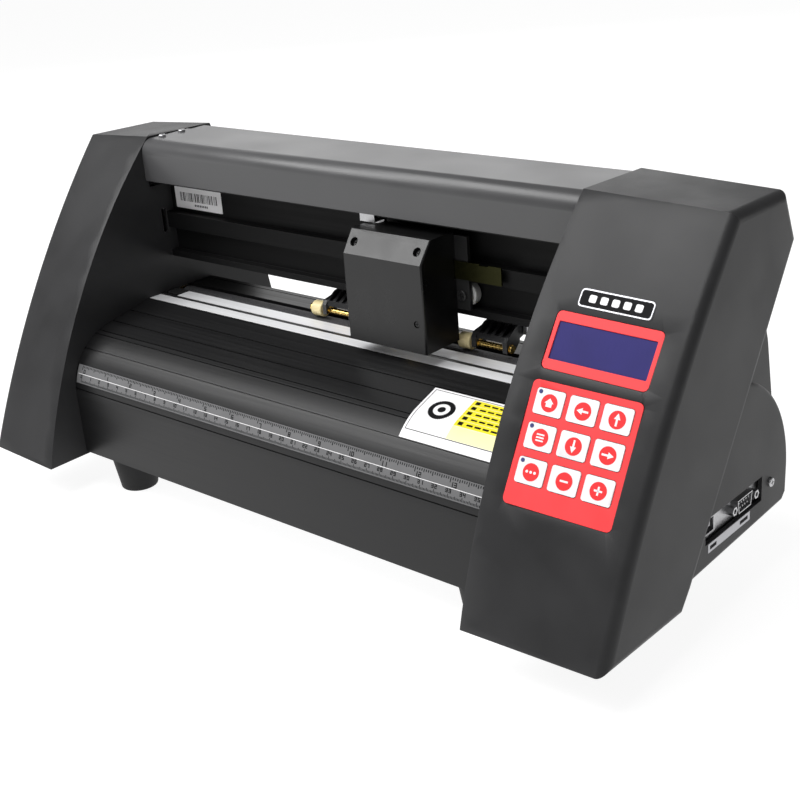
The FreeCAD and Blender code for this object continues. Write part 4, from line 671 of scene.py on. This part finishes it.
def make_ruler():
    """Inches above and centimetres below a white line, in dark print on the grey film."""
    low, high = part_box("ruler")
    start = low.x + RULER_START
    length = high.x - RULER_STOP - start
    marks = bmesh.new()
    for index in range(int(length / (INCH / 16)) + 1):
        reach = tick_reach(index, ((16, 3.0), (8, 2.4), (4, 1.9), (1, 1.4)))
        x = start + index * INCH / 16
        nose_bar(marks, x - 0.3 * MM, x + 0.3 * MM, INCH_TOP, INCH_TOP + reach)
    for index in range(int(length / MM) + 1):
        reach = tick_reach(index, ((10, 2.4), (5, 1.9), (1, 1.3)))
        x = start + index * MM
        nose_bar(marks, x - 0.2 * MM, x + 0.2 * MM, CENTIMETRE_FOOT - reach, CENTIMETRE_FOOT)
    for inch in range(int(length / INCH) + 1):
        x = start + inch * INCH + 2.6 * MM
        print_number(marks, inch, x, 3.0 * MM, 2.0 * MM, 3.0 * MM)
    for centimetre in range(int(length / CENTIMETRE) + 1):
        x = start + centimetre * CENTIMETRE
        print_number(marks, centimetre, x, 7.1 * MM, 1.7 * MM, 2.4 * MM)
    piece("ruler_print", to_mesh("ruler_print", marks), "chassis", "black_ink")
    line = bmesh.new()
    nose_bar(line, low.x + 1.0 * MM, high.x - 1.0 * MM, 6.3 * MM, 6.65 * MM, 0.06 * MM)
    piece("ruler_line", to_mesh("ruler_line", line), "chassis", "white_ink")


SLOPE_END_Y = -11.3 * MM     # where the bed's slope meets the front strip
LABEL_WIDE = 72.0            # the bed label: width and depth in mm
LABEL_DEEP = 41.3
LABEL_FAR_Y = -31.2 * MM
LABEL_LEAN = 5.6             # the label sits slightly askew
LABEL_LEFT = 80.2            # its far left corner, from the right cover
LABEL_SPLIT = 31.0           # width of its white field
LABEL_MARGIN = 1.8
LABEL_ROW = 5.0              # pitch of its yellow rows
LABEL_ROWS = 5
LABEL_ROWS_TOP = 2.6
LABEL_LINE = (1.6, 1.5, 36.8)      # its frame line: from the sides, from the far edge, near end
LABEL_MARK = (16.5, 18.0)    # middle of the round mark
LOW_PRINT = (0.05 * MM, 0.16 * MM)
HIGH_PRINT = (0.1 * MM, 0.19 * MM)


def on_bed(x, y, lift):
    """A point over the bed's slope or its round nose, lifted off the surface."""
    centre_y, centre_z = nose_centre()
    bed_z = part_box("bed_strips")[1].z
    span_y = SLOPE_END_Y - centre_y
    span_z = bed_z - centre_z
    tangent = math.atan2(span_z, span_y) + math.acos(NOSE_R / math.hypot(span_y, span_z))
    if y > centre_y + NOSE_R * math.cos(tangent):
        z = bed_z - (SLOPE_END_Y - y) * math.tan(tangent - math.pi / 2)
        return Vector((x, y + lift * math.cos(tangent), z + lift * math.sin(tangent)))
    angle = math.acos((y - centre_y) / NOSE_R)
    radius = NOSE_R + lift
    return Vector((x, centre_y + radius * math.cos(angle), centre_z + radius * math.sin(angle)))


def label_point(across, down, lift):
    """A point on the bed label: millimetres from its left edge and from its far edge."""
    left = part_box("right_cover")[0].x - (LABEL_LEFT - LABEL_LEAN * down / LABEL_DEEP) * MM
    return on_bed(left + across * MM, LABEL_FAR_Y - down * MM, lift)


def label_patch(bm, x0, x1, d0, d1, low, high):
    """A thin closed sheet on the label, bent to the bed, between two heights."""
    steps = max(1, int((d1 - d0) / 1.7))
    rows = []
    for step in range(steps + 1):
        down = d0 + (d1 - d0) * step / steps
        corners = ((x0, low), (x0, high), (x1, high), (x1, low))
        rows.append([label_point(x, down, lift) for x, lift in corners])
    ribbon(bm, rows)


def label_disc(bm, across, down, radius, low, high, steps=24):
    """A thin round mark on the label, in narrow strips that follow the bed."""
    for step in range(steps):
        start = math.pi * step / steps
        end = math.pi * (step + 1) / steps
        half = radius * math.sin((start + end) / 2)
        label_patch(bm, across - half, across + half, down - radius * math.cos(start),
                    down - radius * math.cos(end), low, high)


def label_row(yellow, dark, down):
    """One yellow row with a small mark and five bars in place of words."""
    label_patch(yellow, LABEL_SPLIT, LABEL_WIDE - LABEL_MARGIN, down, down + LABEL_ROW - 0.3,
                0.05 * MM, 0.15 * MM)
    label_patch(dark, LABEL_SPLIT + 2.0, LABEL_SPLIT + 5.2, down + 1.0, down + LABEL_ROW - 1.3,
                *HIGH_PRINT)
    for word in range(5):
        start = LABEL_SPLIT + 8.0 + word * 5.6
        label_patch(dark, start, start + 4.2, down + 1.7, down + LABEL_ROW - 1.9, *HIGH_PRINT)


def make_bed_label():
    """A plain label: a white field with a round mark, and yellow rows with dark bars for words."""
    paper, yellow, dark, white, inner, pale = [bmesh.new() for _ in range(6)]
    label_patch(paper, 0.0, LABEL_WIDE, 0.0, LABEL_DEEP, SUNK, 0.1 * MM)
    for index in range(LABEL_ROWS):
        label_row(yellow, dark, LABEL_ROWS_TOP + index * LABEL_ROW)
    side, top, end = LABEL_LINE
    for x0, x1, d0, d1 in ((side, LABEL_WIDE - side, top, top + 0.4), (side, side + 0.4, top, end),
                           (side, LABEL_WIDE - side, end - 0.4, end)):
        label_patch(dark, x0, x1, d0, d1, *LOW_PRINT)
    label_disc(dark, *LABEL_MARK, 8.6, *LOW_PRINT)
    label_disc(white, *LABEL_MARK, 5.4, 0.1 * MM, 0.2 * MM)
    label_disc(inner, *LABEL_MARK, 2.6, 0.15 * MM, 0.24 * MM, 12)
    label_patch(pale, LABEL_SPLIT, LABEL_WIDE - LABEL_MARGIN,
                LABEL_ROWS_TOP + LABEL_ROWS * LABEL_ROW, 36.2, 0.05 * MM, 0.15 * MM)
    for name, bm, material, slot in (("bed_label", paper, "white_ink", "white_plastic"),
                                     ("bed_label_rows", yellow, "yellow_ink", "coral_panel"),
                                     ("bed_label_marks", dark, "black_ink", "black_plastic"),
                                     ("bed_label_ring", white, "white_ink", "white_plastic"),
                                     ("bed_label_dot", inner, "black_ink", "black_plastic"),
                                     ("bed_label_fade", pale, "pale_ink", "white_plastic")):
        piece(name, to_mesh(name, bm), "chassis", material)


RAIL_STEP = 6.5 * MM         # the rail's upper face stands this far behind its band
RAIL_LABEL_X = 29.0 * MM     # the label's middle, from the left cover
RAIL_LABEL_Z = 191.0 * MM
PORT_LABEL_Y = 12.5 * MM     # the middle of the strip under the sockets
PORT_LABEL_Z = 52.8 * MM
PLATE_BEHIND = 3.6 * MM      # the port plate's face stands this far behind the hump's side
BAR_PRINT = (0.08 * MM, 0.16 * MM)


def make_rail_label():
    """A plain white label with upright bars, on the rail at its left end."""
    face_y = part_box("guide_rail")[0].y + RAIL_STEP
    middle_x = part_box("left_cover")[1].x + RAIL_LABEL_X
    place = Matrix(((1, 0, 0, middle_x), (0, 0, -1, face_y), (0, 1, 0, RAIL_LABEL_Z), (0, 0, 0, 1)))
    paper = bmesh.new()
    slab(paper, rounded_outline(49.5 * MM, 15.6 * MM, 0.6 * MM, 3), -0.02 * MM, 0.12 * MM, place)
    piece("rail_label", to_mesh("rail_label", paper), "chassis", "white_ink")
    bars = bmesh.new()
    seeded = random.Random(7)
    x = -19.0
    while x < 20.0:
        width = seeded.choice((0.35, 0.6, 0.9))
        slab(bars, bar_outline(width * MM, 6.4 * MM, x * MM, 0.8 * MM), *BAR_PRINT, place)
        x += width + seeded.choice((0.5, 0.8, 1.1))
    for index in range(8):
        x = (index * 1.8 - 4.0) * MM
        slab(bars, bar_outline(1.1 * MM, 1.5 * MM, x, -4.8 * MM), *BAR_PRINT, place)
    piece("rail_label_bars", to_mesh("rail_label_bars", bars), "chassis", "black_ink")


# ---- sockets -------------------------------------------------------------------------------
def make_port_label():
    """The pale strip under the port window, with plain tabs in place of words."""
    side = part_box("port_plate")[1].x + PLATE_BEHIND
    place = Matrix(((0, 0, 1, side), (1, 0, 0, PORT_LABEL_Y), (0, 1, 0, PORT_LABEL_Z), (0, 0, 0, 1)))
    strip = bmesh.new()
    slab(strip, rounded_outline(47.0 * MM, 5.4 * MM, 0.4 * MM, 3), -0.1 * MM, 0.12 * MM, place)
    piece("port_label", to_mesh("port_label", strip), "chassis", "silver_ink")
    tabs = bmesh.new()
    for x, width in ((-18.0, 7.0), (16.5, 9.0)):
        slab(tabs, bar_outline(width * MM, 2.2 * MM, x * MM, 0.0), *BAR_PRINT, place)
    piece("port_label_tabs", to_mesh("port_label_tabs", tabs), "chassis", "black_ink")


# ---- CAD nodes with softened edges ---------------------------------------------------------
SOFT_EDGES = {"right_cover": 0.5, "left_cover": 0.5, "carriage_cover": 0.35, "top_beam": 0.25,
              "feet": 0.3, "keypad_panel": 0.2, "lcd_bezel": 0.2, "port_plate": 0.1,
              "power_inlet": 0.3, "guide_rail": 0.2, "pinch_bracket_left": 0.15,
              "pinch_bracket_right": 0.15, "pinch_arm_left": 0.25, "pinch_arm_right": 0.25,
              "tool_slide": 0.25, "home_flag": 0.08, "belt_clamp": 0.12, "base_plate": 0.2,
              "power_switch": 0.25, "usb_socket": 0.1}    # millimetres
KEY_EDGE = 0.3               # the same for each key
WELD_REACH = 0.002 * MM      # corners closer than this are one


def soften(node_name, width):
    """Join the node's split corners and round its sharp edges a little."""
    thing = NODES[node_name]
    weld = thing.modifiers.new("join_corners", "WELD")
    weld.merge_threshold = WELD_REACH
    bevel = thing.modifiers.new("round_edges", "BEVEL")
    bevel.width = width * MM
    bevel.segments = 2
    bevel.limit_method = "ANGLE"
    bevel.angle_limit = math.radians(38.0)
    bevel.harden_normals = True
    bevel.use_clamp_overlap = True


def main():
    """The studio, the painted nodes, then the pieces that go on them."""
    make_camera()
    make_studio()
    make_materials()
    paint_nodes()
    for node_name, width in SOFT_EDGES.items():
        soften(node_name, width)
    for node_name in NODES:
        if node_name.startswith("key_"):
            soften(node_name, KEY_EDGE)
            dress_key(node_name[4:])
    dress_display()
    make_badge()
    make_ruler()
    make_bed_label()
    make_rail_label()
    make_port_label()


main()
